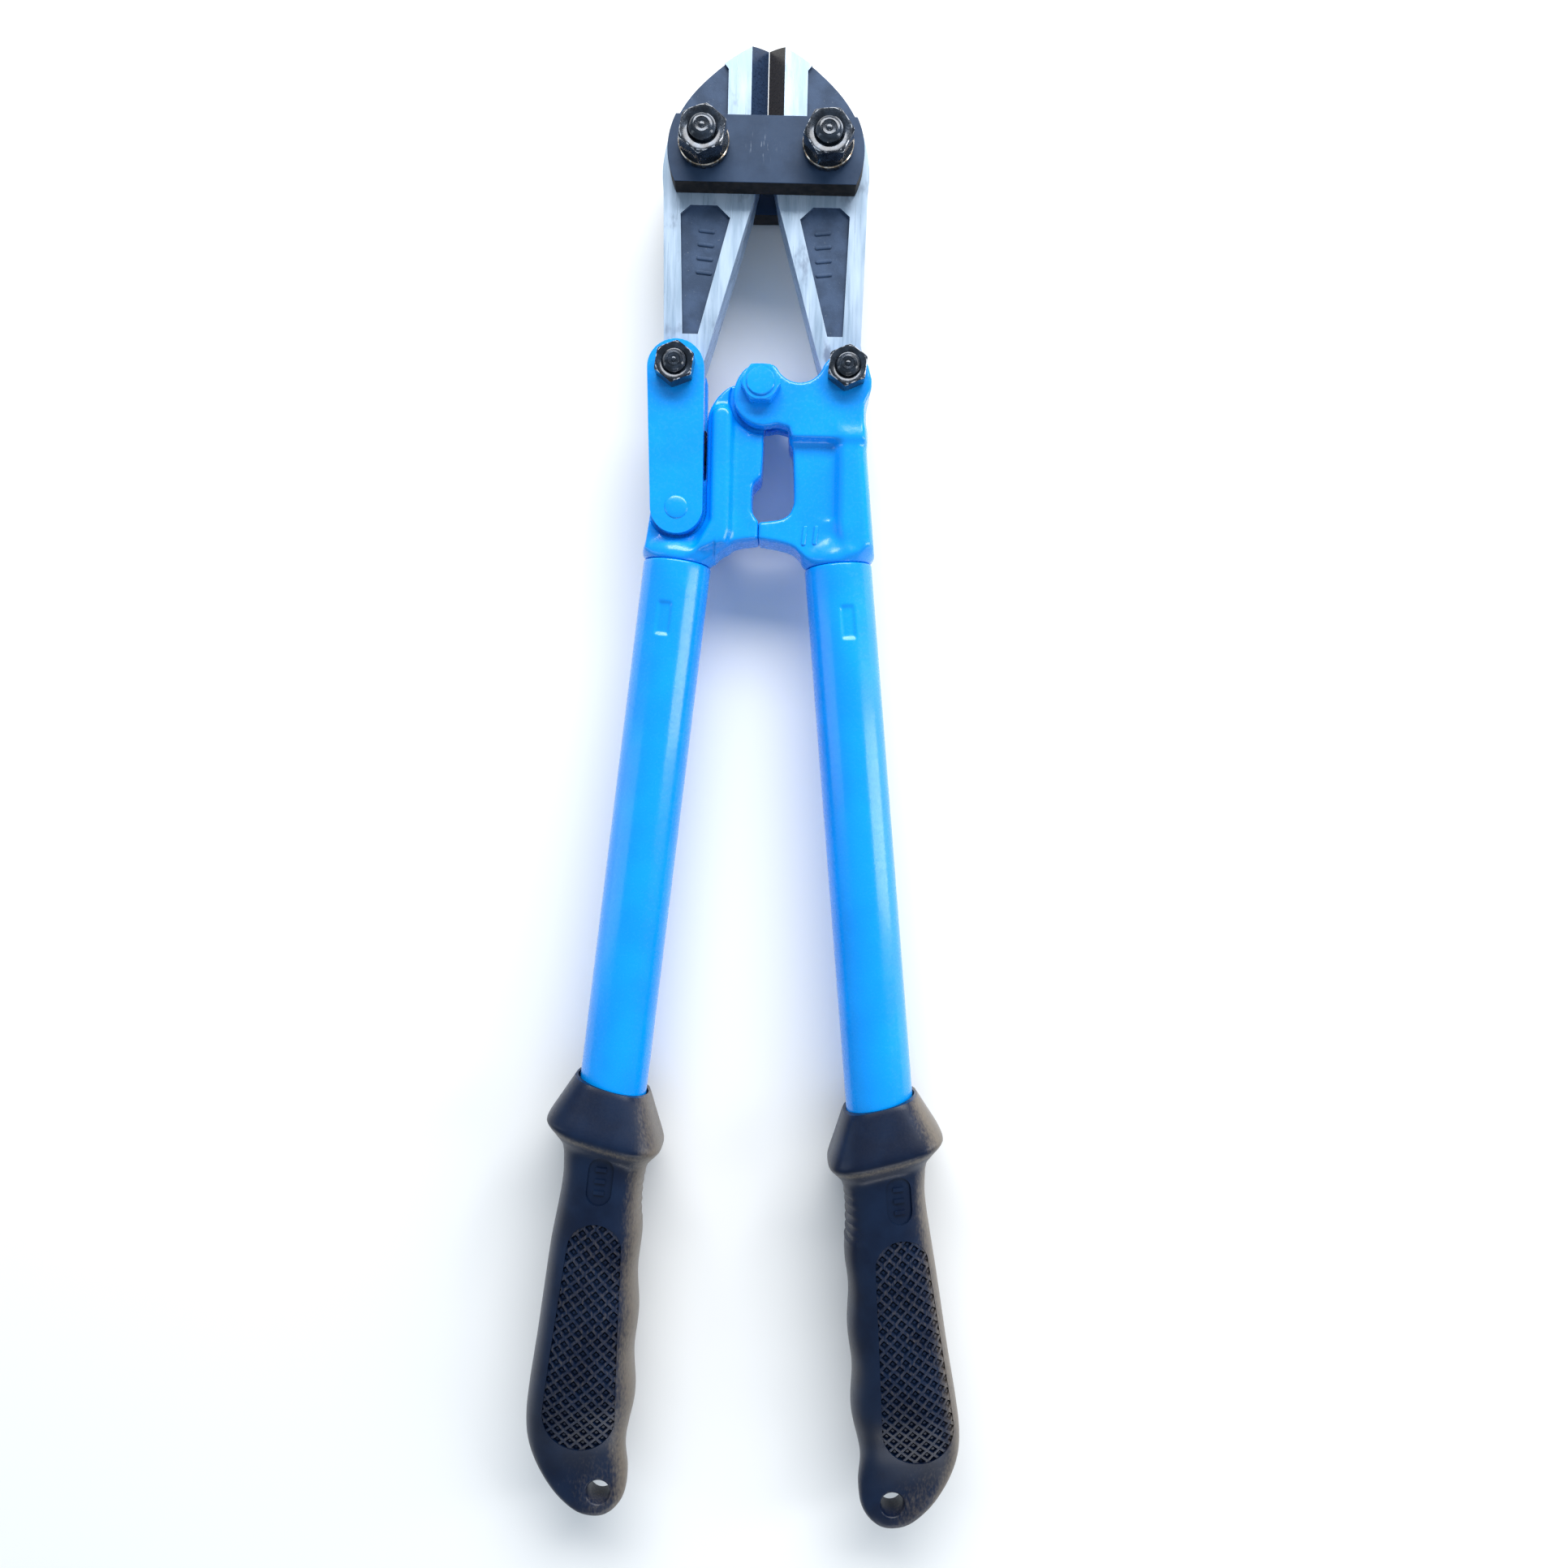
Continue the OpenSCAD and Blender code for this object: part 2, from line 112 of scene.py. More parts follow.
class Finish:
    """A node material on the Principled shader; its noises count features per millimetre."""

    def __init__(self, name, color, roughness, **sockets):
        self.material = bpy.data.materials.new(name)
        self.material.use_nodes = True
        self.tree = self.material.node_tree
        self.shader = self.tree.nodes["Principled BSDF"]
        self.set("Base Color", (*color, 1))
        self.set("Roughness", roughness)
        for socket, value in sockets.items():
            self.set(socket.replace("_", " "), value)
        self.coordinates = self.node("ShaderNodeTexCoord").outputs["Object"]

    def set(self, socket, value):
        self.shader.inputs[socket].default_value = value

    def node(self, kind, inputs=None, **settings):
        node = self.tree.nodes.new(kind)
        for key, value in settings.items():
            setattr(node, key, value)
        for key, value in (inputs or {}).items():
            if isinstance(value, bpy.types.NodeSocket):
                self.tree.links.new(value, node.inputs[key])
            else:
                node.inputs[key].default_value = value
        return node

    def noise(self, per_mm, detail=3.0, stretch=(1, 1, 1), turn=0.0, roughness=0.55, offset=0.0):
        """Noise with about per_mm features in each mm, drawn out along an axis where stretch is below 1."""
        scale = tuple(1000 * s for s in stretch)
        mapped = self.node("ShaderNodeMapping", {
            "Vector": self.coordinates, "Scale": scale, "Rotation": (0, 0, turn), "Location": (offset,) * 3})
        return self.node("ShaderNodeTexNoise", {
            "Vector": mapped.outputs[0], "Scale": per_mm, "Detail": detail, "Roughness": roughness,
        }).outputs["Fac"]

    def step(self, value, start, end, low=0.0, high=1.0):
        """Runs smoothly from low to high while the value runs from start to end."""
        return self.node("ShaderNodeMapRange", {
            "Value": value, "From Min": start, "From Max": end, "To Min": low, "To Max": high,
        }, interpolation_type="SMOOTHSTEP").outputs["Result"]

    def near(self, centre, inner, outer):
        """1 within inner metres of a centre, falling to 0 at outer."""
        distance = self.node("ShaderNodeVectorMath", {0: self.coordinates, 1: centre}, operation="DISTANCE")
        return self.step(distance.outputs["Value"], inner, outer, 1.0, 0.0)

    def math(self, operation, a, b):
        return self.node("ShaderNodeMath", {0: a, 1: b}, operation=operation).outputs[0]

    def mix(self, share, a, b):
        a, b = ((*c, 1) if isinstance(c, tuple) else c for c in (a, b))
        return self.node("ShaderNodeMix", {"Factor": share, 6: a, 7: b}, data_type="RGBA").outputs[2]

    def attribute(self, name):
        return self.node("ShaderNodeAttribute", attribute_name=name).outputs["Fac"]

    def link(self, socket, value):
        self.tree.links.new(value, self.shader.inputs[socket])

    def bump(self, height, depth_mm, strength=1.0):
        previous = self.shader.inputs["Normal"]
        inputs = {"Height": height, "Distance": depth_mm / 1000, "Strength": strength}
        if previous.is_linked:
            inputs["Normal"] = previous.links[0].from_socket
        self.link("Normal", self.node("ShaderNodeBump", inputs).outputs[0])


def blue_paint():
    """Glossy paint over a cast skin: a slow change of tone and two sizes of orange peel."""
    f = Finish("blue_paint", (0.0, 0.28, 0.9), 0.25,
               Specular_IOR_Level=0.35, Coat_Weight=0.25, Coat_Roughness=0.1)
    broad = f.noise(0.06, 2)
    fine = f.noise(0.9, 2)
    f.link("Base Color", f.mix(f.step(broad, 0.3, 0.7), (0.0, 0.28, 0.86), (0.0, 0.315, 0.93)))
    f.link("Roughness", f.step(fine, 0.3, 0.75, 0.2, 0.32))
    f.bump(f.noise(0.7, 1), 0.04, 0.5)
    f.bump(f.noise(2.8, 2), 0.02, 0.5)
    return f.material


def black_oxide():
    """The plates' faces: cloudy oxide, with a patch of fine rubbed strokes on the front plate."""
    f = Finish("black_oxide", (0.03, 0.055, 0.1), 0.45, Specular_IOR_Level=0.2)
    cloud = f.noise(0.12, 4)
    grain = f.noise(3.2, 3)
    strokes = f.step(f.noise(1.7, 4, (1, 0.12, 1), math.radians(4)), 0.58, 0.68)
    middle_of_plate = (-0.001, 0.19, 0.0314)
    rubbed = f.math("MULTIPLY", strokes, f.near(middle_of_plate, 0.002, 0.0065))
    tone = f.mix(f.step(cloud, 0.3, 0.7), (0.018, 0.04, 0.086), (0.028, 0.056, 0.115))
    f.link("Base Color", f.mix(rubbed, tone, (0.14, 0.18, 0.25)))
    f.link("Roughness", f.step(grain, 0.25, 0.8, 0.42, 0.62))
    f.bump(grain, 0.02, 0.4)
    return f.material


def chips_and_glints_edge():
    """The plates' edges, where the oxide is chipped through to the steel; on the nuts' narrow edges the same
    bright flecks are painted glints.
    """
    f = Finish("chips_and_glints_edge", (0.03, 0.035, 0.045), 0.42, Metallic=0.7)
    chips_and_glints = f.step(f.noise(0.7, 5), 0.49, 0.56)
    f.link("Base Color", f.mix(chips_and_glints, (0.02, 0.025, 0.035), (0.62, 0.64, 0.68)))
    f.bump(f.noise(2.2, 3), 0.05, 0.6)
    return f.material


def painted_shade_wall():
    """The plates' walls: painted shade, a browner black than their rubbed faces."""
    f = Finish("painted_shade_wall", (0.012, 0.011, 0.012), 0.6, Specular_IOR_Level=0.15)
    cloud = f.step(f.noise(0.5, 4), 0.35, 0.7)
    f.link("Base Color", f.mix(cloud, (0.007, 0.007, 0.008), (0.02, 0.017, 0.016)))
    f.bump(f.noise(2.5, 3), 0.05, 0.6)
    return f.material


def black_steel():
    """Oiled black bolts, nuts and washers."""
    f = Finish("black_steel", (0.012, 0.018, 0.028), 0.2, Metallic=0.5, Coat_Weight=0.5, Coat_Roughness=0.08)
    grain = f.noise(2.4, 3)
    cloud = f.step(f.noise(0.35, 3), 0.35, 0.7)
    f.link("Base Color", f.mix(cloud, (0.008, 0.012, 0.02), (0.03, 0.043, 0.066)))
    f.link("Roughness", f.step(grain, 0.3, 0.8, 0.15, 0.36))
    f.bump(grain, 0.02, 0.5)
    return f.material


def bright_rim():
    """Plated rim of the flat washers, warm where the plating has worn."""
    f = Finish("bright_rim", (0.5, 0.4, 0.3), 0.25, Metallic=1.0)
    worn = f.step(f.noise(0.8, 3), 0.4, 0.65)
    f.link("Base Color", f.mix(worn, (0.3, 0.22, 0.15), (0.72, 0.66, 0.58)))
    f.bump(f.noise(3, 2), 0.02, 0.5)
    return f.material


def jaw_steel():
    """Bright steel of the jaws, brushed along them, with dull blots and a few scratches."""
    f = Finish("jaw_steel", (0.45, 0.6, 0.74), 0.38, Metallic=0.25)
    lines = f.noise(1.6, 4, (1, 0.03, 1))
    broad = f.noise(0.35, 3, (1, 0.12, 1))
    blots = f.step(f.noise(0.16, 4, (1, 0.5, 1), offset=2.1), 0.56, 0.74)
    tone = f.mix(f.step(broad, 0.3, 0.72), (0.26, 0.36, 0.48), (0.41, 0.52, 0.66))
    f.link("Base Color", f.mix(blots, tone, (0.16, 0.21, 0.3)))
    f.link("Roughness", f.step(lines, 0.25, 0.75, 0.24, 0.44))
    f.bump(lines, 0.02, 0.5)
    scratch = f.step(f.noise(0.9, 2, (1, 0.05, 1), math.radians(38), offset=5.0), 0.7, 0.74)
    f.bump(scratch, 0.02, 0.4)
    return f.material


def jaw_recess():
    """The recessed panels of the jaws, sandblasted and blackened."""
    f = Finish("jaw_recess", (0.045, 0.075, 0.13), 0.6, Specular_IOR_Level=0.25)
    grain = f.noise(2.6, 4, roughness=0.7)
    specks = f.step(f.noise(1.5, 3, offset=1.3), 0.66, 0.76)
    tone = f.mix(f.step(f.noise(0.2, 3), 0.3, 0.7), (0.026, 0.05, 0.1), (0.044, 0.078, 0.15))
    f.link("Base Color", f.mix(specks, tone, (0.11, 0.14, 0.19)))
    f.bump(grain, 0.08, 0.7)
    return f.material


def cutting_face(name, dark, light):
    """Ground faces that meet in the cutting edge, blued by the heat of hardening."""
    f = Finish(name, dark, 0.3, Metallic=0.2)
    lines = f.noise(2.0, 3, (0.08, 1, 1), math.radians(-30))
    f.link("Base Color", f.mix(f.step(lines, 0.3, 0.75), dark, light))
    f.link("Roughness", f.step(lines, 0.3, 0.7, 0.25, 0.45))
    f.bump(lines, 0.015, 0.5)
    return f.material


def rubber():
    """The grips: navy-black rubber, turned grey-brown where the stored attribute is high: scuffs from hands,
    and painted sheen and highlights where the light falls.
    """
    f = Finish("rubber", (0.01, 0.018, 0.042), 0.36, Specular_IOR_Level=0.3)
    grain = f.noise(2.2, 4, roughness=0.65)
    # this attribute holds real scuffing together with painted sheen and painted highlights
    worn = f.attribute("wear_and_sheen")
    fleck = f.math("MULTIPLY", f.noise(1.6, 5, (1, 0.4, 1), offset=4.0), 0.9)
    scuffs_and_sheen = f.step(f.math("ADD", worn, fleck), 0.62, 1.55)
    tone = f.mix(f.step(f.noise(0.08, 3), 0.3, 0.7), (0.0015, 0.006, 0.023), (0.004, 0.013, 0.04))
    # the grey-brown mix is partly scuffing, partly painted sheen
    f.link("Base Color", f.mix(scuffs_and_sheen, tone, (0.16, 0.135, 0.11)))
    dulled = f.math("MULTIPLY", worn, 0.06)
    f.link("Roughness", f.math("ADD", f.step(grain, 0.25, 0.8, 0.29, 0.42), dulled))
    f.bump(grain, 0.03, 0.5)
    return f.material


BLUE = blue_paint()
OXIDE = black_oxide()
CHIPS_AND_GLINTS = chips_and_glints_edge()
PAINTED_SHADE_WALL = painted_shade_wall()
BLACK = black_steel()
RIM = bright_rim()
STEEL = jaw_steel()
RECESS = jaw_recess()
NAVY_EDGE = cutting_face("cutting_face_left", (0.008, 0.022, 0.06), (0.02, 0.05, 0.12))
BROWN_EDGE = cutting_face("cutting_face_right", (0.014, 0.011, 0.01), (0.04, 0.033, 0.03))
RUBBER = rubber()

# ---------- mesh helpers ----------


def show(name, data):
    """A new object of that data, linked into the scene."""
    thing = bpy.data.objects.new(name, data)
    bpy.context.scene.collection.objects.link(thing)
    return thing


def add_piece(name, mesh, body, nodes, finishes, sharp=None):
    """Puts a finished mesh into the scene as a piece that rides on body and stands for those CAD nodes.

    Edges steeper than sharp degrees stay crisp; where sharp is None, the mesh brings its own shading.
    """
    for finish in finishes:
        mesh.materials.append(finish)
    if sharp is not None:
        mesh.shade_smooth()
        mesh.set_sharp_from_angle(angle=math.radians(sharp))
    piece = show(name, mesh)
    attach(piece, body)
    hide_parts(*nodes)


def mesh_of(name, parts):
    """One mesh of several closed shells, each (points in mm, faces), with its faces turned outwards."""
    points, faces = [], []
    for part_points, part_faces in parts:
        start = len(points)
        points += place(part_points).tolist()
        faces += [[start + i for i in face] for face in part_faces]
    mesh = bpy.data.meshes.new(name)
    mesh.from_pydata(points, [], faces)
    bm = bmesh.new()
    bm.from_mesh(mesh)
    bmesh.ops.recalc_face_normals(bm, faces=bm.faces)
    bm.to_mesh(mesh)
    bm.free()
    return mesh


def add_shells(name, parts, body, nodes, finish, sharp):
    """A piece of one finish made of closed shells."""
    add_piece(name, mesh_of(name, parts), body, nodes, [finish], sharp)


def skin(rings, closed=False):
    """A shell through rings of equally many points, capped at both ends or joined end to end."""
    rings = [np.asarray(r, float) for r in rings]
    count = len(rings[0])
    faces = []
    pairs = list(range(len(rings) - 1)) + ([len(rings) - 1] if closed else [])
    for k in pairs:
        a, b = k * count, ((k + 1) % len(rings)) * count
        faces += [[a + i, a + (i + 1) % count, b + (i + 1) % count, b + i] for i in range(count)]
    if not closed:
        faces.append(list(range(count))[::-1])
        faces.append([(len(rings) - 1) * count + i for i in range(count)])
    return np.concatenate(rings), faces


def around(count):
    """Angles of count points round a circle."""
    return np.arange(count) * 2 * math.pi / count


def ring_at(at, r, a, z):
    """Points at angles a round a place, r from it and z high."""
    return np.stack([at[0] + r * np.cos(a), at[1] + r * np.sin(a), np.full(len(a), z)], 1)


def circle(r, at, z, count=64, turn=0.0):
    return ring_at(at, r, around(count) + turn, z)


def lathe(profile, at, closed=False, count=64):
    """A turned shell round the Z axis at a place; profile is a list of (radius, z)."""
    return skin([circle(r, at, z, count) for r, z in profile], closed)


def hex_radius(angle, flats, turn):
    """Distance from the middle of a hexagon to its edge, with a corner at turn."""
    off = (angle - turn) % (math.pi / 3) - math.pi / 6
    return flats / 2 / np.cos(off)


def hexagon(at, flats, z0, z1, turn=0.0, bore=None):
    """A nut, or a bolt head where bore is None, with the usual 30 degree chamfer at its z1 face."""
    count = 96
    turn = math.radians(turn)
    a = around(count) + turn
    up = 1 if z1 > z0 else -1
    lip = 0.2
    corner = flats / 2 / math.cos(math.pi / 6)
    blunt = corner * 0.988
    land = flats / 2 + lip
    rise = (blunt - land) * math.tan(math.radians(30))

    def ring(limit, z):
        return ring_at(at, np.minimum(hex_radius(a, flats, turn), limit), a, z)

    levels = [(blunt - 0.35, z0), (blunt, z0 + up * lip)]
    levels += [(blunt + (land - blunt) * k / 8, z1 - up * (lip + rise * (1 - k / 8))) for k in range(9)]
    rings = [ring(*level) for level in levels]
    edge = rings[-1]
    inward = np.array([*at, edge[0, 2]]) - edge
    rings.append(edge + inward * 0.22 / np.linalg.norm(inward, axis=1, keepdims=True) + (0, 0, up * lip))
    if bore is None:
        rings.append(circle(0.6 * land, at, z1, count, turn))
        return skin(rings)
    inner = ((bore + 0.9, z1), (bore + 0.1, z1 - up * 0.4), (bore, z1 - up * 0.9), (bore, z0 + up * 0.3),
             (bore + 0.3, z0))
    rings += [circle(r, at, z, count, turn) for r, z in inner]
    return skin(rings, closed=True)


def wear_and_glint_hexagons(mesh):
    """Puts the second finish on the narrow worn edge that slopes between a nut's chamfer and its face; its
    bright flecks there are painted glints as well as chipping.
    """
    for polygon in mesh.polygons:
        if 0.6 < abs(polygon.normal.z) < 0.8:
            polygon.material_index = 1
    return mesh


def threaded(at, r, z0, z1, pitch=1.25):
    """A thread end that comes to a chamfered tip at z1, with turning marks and a centre dimple."""
    count, up = 48, (1 if z1 > z0 else -1)
    a = around(count)
    depth, chamfer = 0.3 * pitch, 0.8
    length = abs(z1 - z0) - chamfer
    steps = int(length / pitch * 6) + 1
    rings = []
    for k in range(steps + 1):
        along = length * k / steps
        tooth = np.abs((along / pitch - a / (2 * math.pi)) % 1 * 2 - 1)
        rr = r - depth * np.clip(tooth * 1.3, 0, 1)
        rings.append(ring_at(at, rr, a, z0 + up * along))
    root = r - depth
    for share, drop in ((0.98, 0.75), (0.88, 0.3), (0.8, 0.08), (0.62, 0.0), (0.58, 0.12), (0.54, 0.0),
                        (0.34, 0.06), (0.3, 0.2), (0.24, 0.2), (0.2, 0.0), (0.12, -0.1)):
        rings.append(circle(root * share, at, z1 - up * drop, count))
    return skin(rings)


def cad_copy(node):
    """A copy of a CAD node's mesh with its flat faces joined up, as a bmesh."""
    bm = bmesh.new()
    bm.from_mesh(CAD[node].data)
    bmesh.ops.remove_doubles(bm, verts=bm.verts, dist=2e-6)
    bmesh.ops.dissolve_limit(bm, angle_limit=math.radians(0.6), verts=bm.verts, edges=bm.edges)
    return bm


def mesh_from(bm, name):
    """A new mesh of a bmesh, which is then freed."""
    mesh = bpy.data.meshes.new(name)
    bm.to_mesh(mesh)
    bm.free()
    return mesh


def with_modifiers(mesh, add):
    """The mesh after the modifiers that add(object) puts on it."""
    helper = show("helper", mesh)
    add(helper)
    depsgraph = bpy.context.evaluated_depsgraph_get()
    result = bpy.data.meshes.new_from_object(helper.evaluated_get(depsgraph))
    bpy.data.objects.remove(helper)
    return result


def bevelled(node, width, segments=2, edge_finish=-1, share=None):
    """A CAD node's mesh with its edges rounded to width mm, or to share(edge's middle in mm) of it."""
    bm = cad_copy(node)
    weight = bm.edges.layers.float.new("bevel_weight_edge")
    for edge in bm.edges:
        if len(edge.link_faces) == 2 and edge.calc_face_angle() > math.radians(28):
            centre = (np.array((edge.verts[0].co + edge.verts[1].co) / 2) - ORIGIN) * 1000
            edge[weight] = 1.0 if share is None else share(centre)

    def bevel(helper):
        modifier = helper.modifiers.new("edges", "BEVEL")
        modifier.limit_method = "WEIGHT"
        modifier.width = width / 1000
        modifier.segments = segments
        modifier.material = edge_finish
        modifier.use_clamp_overlap = True
        modifier.miter_outer = "MITER_ARC"
        shading = helper.modifiers.new("flat faces", "WEIGHTED_NORMAL")
        shading.weight = 90

    mesh = mesh_from(bm, node)
    mesh.shade_smooth()
    return with_modifiers(mesh, bevel)


def centres(mesh):
    """Middles of a mesh's faces, in mm in the tool's frame, and their normals."""
    middles = np.array([p.center for p in mesh.polygons])
    return (middles - ORIGIN) * 1000, np.array([p.normal for p in mesh.polygons])


def bar(x, y, z, length, width, height, turn=0.0):
    """A raised bar with a rounded plan and top, lying along Y before it is turned."""
    count, r = 28, width / 2
    a = around(count)
    rings = []
    for grow, rise in ((0, -0.3), (0, 0.6 * height), (-0.15, 0.9 * height), (-0.35, height)):
        u = (r + grow) * np.cos(a)
        v = (r + grow) * np.sin(a) + np.sign(np.sin(a)) * (length / 2 - r)
        rings.append(np.stack([x + u * math.cos(turn) - v * math.sin(turn),
                               y + u * math.sin(turn) + v * math.cos(turn), np.full(count, z + rise)], 1))
    return skin(rings)


# ---------- head plates, bolts and washers ----------


def plates():
    """Both head plates: oxide faces, chipped edges and walls in a browner black that is painted shade."""
    for node in ("front_plate", "back_plate"):
        mesh = bevelled(node, 0.35, 2, edge_finish=1)
        for polygon in mesh.polygons:
            # side walls take the finish of painted shade
            if polygon.material_index == 0 and abs(polygon.normal.z) < 0.5:
                polygon.material_index = 2
        add_piece(node + "_oxide", mesh, "head", [node], [OXIDE, CHIPS_AND_GLINTS, PAINTED_SHADE_WALL])


def both_pivots():
    return [(side * JAW_PIVOT[0], JAW_PIVOT[1]) for side in (LEFT, RIGHT)]


def jaw_fasteners():
    """The jaws' bolts, nuts, flat washers and toothed lock washers, in pairs."""
    washer_t = 1.4
    washer_top = PLATE_Z + 1 + washer_t
    nut_top = washer_top + 6.4
    bolts, nuts, flats = [], [], []
    for at, nut_turn in zip(both_pivots(), (21, 5)):
        bolts.append(hexagon(at, JAW_HEX, -PLATE_Z, -ORIGIN[2] * 1000))
        bolts.append(lathe([(4.6, -PLATE_Z - 1), (5, -PLATE_Z), (5, PLATE_Z), (3.8, PLATE_Z + 0.3)], at))
        bolts.append(threaded(at, 4.1, PLATE_Z - 1, nut_top + 1.5))
        nuts.append(hexagon(at, JAW_HEX, washer_top, nut_top, nut_turn, bore=4.12))
        rim = [(7.35, washer_top - washer_t), (7.6, washer_top - washer_t + 0.25), (7.6, washer_top - 0.25),
               (7.35, washer_top), (4.4, washer_top), (4.2, washer_top - 0.2), (4.2, washer_top - washer_t)]
        flats.append(lathe(rim, at, closed=True))
    add_shells("jaw_bolt_pair", bolts, "head", ["jaw_bolts"], BLACK, 32)
    # the nuts' narrow edges carry bright flecks as painted glints
    mesh = wear_and_glint_hexagons(mesh_of("jaw_nut_pair", nuts))
    add_piece("jaw_nut_pair", mesh, "head", ["jaw_nuts"], [BLACK, CHIPS_AND_GLINTS], 32)
    mesh = mesh_of("jaw_washers", flats)
    for polygon in mesh.polygons:
        polygon.material_index = 1 if abs(polygon.normal.z) < 0.9 else 0
    add_piece("jaw_washers", mesh, "head", ["jaw_flat_washers"], [BLACK, RIM], 40)
    mesh = bevelled("jaw_tooth_washers", 0.12, 1)
    add_piece("jaw_lock_washers", mesh, "head", ["jaw_tooth_washers"], [BLACK])


# ---------- jaws ----------

TAIL_PANEL = [(10.6, 52.3), (14.5, 56), (22.7, 56), (25.6, 53.4), (24.3, 17), (19.6, 17)]


def inside(points, outline):
    """Which points lie within a convex outline, or no more than 0.3 mm outside it."""
    inner = np.ones(len(points), bool)
    corners = np.array(outline)
    centre = corners.mean(0)
    for a, b in zip(corners, np.roll(corners, -1, 0)):
        normal = np.array([b[1] - a[1], a[0] - b[0]]) / np.linalg.norm(b - a)
        normal *= -1 if (centre - a) @ normal > 0 else 1
        inner &= (points - a) @ normal < 0.3
    return inner


def jaw_edge_share(centre):
    """How far a jaw's edge is rounded: not at all along the cutting edge, and less inside the jaw."""
    x, y, z = abs(centre[0]), centre[1], abs(centre[2])
    if x < 0.6 and y > 78:
        return 0.0
    return 0.7 if z < JAW_T / 2 - 0.3 else 1.0


def jaw_finishes(mesh, side):
    """For each face of a jaw: 0 for bright steel, 1 for its sunk panels, 2 for the ground cutting faces."""
    middles, normals = centres(mesh)
    x, y, z = middles[:, 0] * side, middles[:, 1], np.abs(middles[:, 2])
    facing = np.abs(normals[:, 2])
    tail_panel = inside(np.stack([x, y], 1), TAIL_PANEL)
    head_panel = (x > 11.7) & (y > 81) & (y < 99.9) & (z > 5.1)
    panel = (z < JAW_T / 2 - 0.1) & (tail_panel | head_panel)
    panel &= (facing > 0.5) | (z > 5.25)
    slanted = (facing > 0.3) & (facing < 0.97)
    ground = slanted & (x < 5.0) & (y > 71) & (z < JAW_T / 2 - 0.15)
    return np.where(ground, 2, np.where(panel, 1, 0)).astype(np.int32)


def jaw(side, name, edge):
    """One jaw, with four plain bars in its tail panel in place of lettering."""
    mesh = bevelled(name, 0.3, 2, share=jaw_edge_share)
    mesh.polygons.foreach_set("material_index", jaw_finishes(mesh, side))
    add_piece(name + "_forged", mesh, name, [name], [STEEL, RECESS, edge])
    floor_z = JAW_T / 2 - PANEL_DEPTH
    turn = math.pi / 2 + math.radians(6) * side
    bars = [bar(side * (17.6 + 0.2 * k), 48.5 - 4.2 * k, floor_z, 5.0, 1.1, 0.4, turn) for k in range(4)]
    add_shells(name + "_bars", bars, name, [], RECESS, 40)


# ---------- heads of the levers, as distance fields ----------


class Field:
    """A box of cells over which shapes are given as signed distances in mm, negative inside."""

    def __init__(self, low, high, cell):
        self.low, self.cell = np.array(low, float), cell
        x, y, z = (np.arange(a, b + cell, cell, dtype=np.float32) for a, b in zip(low, high))
        self.x, self.y, self.z = x[:, None, None], y[None, :, None], z[None, None, :]

    def plan(self, outline, soften=0):
        """Distance to an outline in the XY plane; soften rounds its corners, in passes of a small blur."""
        px, py = self.x[:, :, 0], self.y[:, :, 0]
        nearest = np.full((px.shape[0], py.shape[1]), 1e9, np.float32)
        inner = np.zeros(nearest.shape, bool)
        corners = np.array(outline, np.float32)
        for (ax, ay), (bx, by) in zip(corners, np.roll(corners, -1, 0)):
            ex, ey = bx - ax, by - ay
            length = ex * ex + ey * ey
            if length < 1e-9:
                continue
            t = np.clip(((px - ax) * ex + (py - ay) * ey) / length, 0, 1)
            nearest = np.minimum(nearest, (px - ax - t * ex) ** 2 + (py - ay - t * ey) ** 2)
            if abs(ey) > 1e-9:
                crossing = (ay > py) != (by > py)
                inner ^= crossing & (px < ax + (py - ay) * ex / ey)
        distance = np.where(inner, -1, 1) * np.sqrt(nearest)
        for _ in range(soften):
            for axis in (0, 1):
                padded = np.pad(distance, [(1, 1) if k == axis else (0, 0) for k in (0, 1)], mode="edge")
                ahead = np.take(padded, range(2, padded.shape[axis]), axis)
                behind = np.take(padded, range(0, padded.shape[axis] - 2), axis)
                distance = (distance * 2 + ahead + behind) / 4
        return distance[:, :, None]

    def disc(self, at, r):
        """Distance to a circle in the XY plane."""
        return np.hypot(self.x - at[0], self.y - at[1]) - r

    def slab(self, plan, z0, z1, r=0.0):
        """A plan between two heights, with its edges rounded by r."""
        a = plan + r
        b = np.abs(self.z - (z0 + z1) / 2) - (z1 - z0) / 2 + r
        outside = np.hypot(np.maximum(a, 0), np.maximum(b, 0))
        return np.minimum(np.maximum(a, b), 0) + outside - r

    def mesh(self, name, distance, detail=0.02):
        """The surface of a distance field, with normals taken from the field itself."""
        grid = openvdb.FloatGrid()
        grid.copyFromArray(np.ascontiguousarray(distance, dtype=np.float32))
        points, triangles, quads = grid.convertToPolygons(isovalue=0.0, adaptivity=detail)
        mesh = bpy.data.meshes.new(name)
        faces = [list(f) for f in triangles] + [list(f) for f in quads]
        mesh.from_pydata(place(points * self.cell + self.low).tolist(), [], faces)
        slopes = np.stack(np.gradient(distance), -1)
        base = np.clip(points.astype(int), 0, np.array(distance.shape) - 2)
        part = points - base
        normals = np.zeros((len(points), 3))
        for i in (0, 1):
            for j in (0, 1):
                for k in (0, 1):
                    share = (abs(1 - i - part[:, 0]) * abs(1 - j - part[:, 1]) * abs(1 - k - part[:, 2]))
                    normals += share[:, None] * slopes[base[:, 0] + i, base[:, 1] + j, base[:, 2] + k]
        normals /= np.maximum(np.linalg.norm(normals, axis=1, keepdims=True), 1e-9)
        mesh.shade_smooth()
        mesh.normals_split_custom_set_from_vertices(normals.tolist())
        return mesh


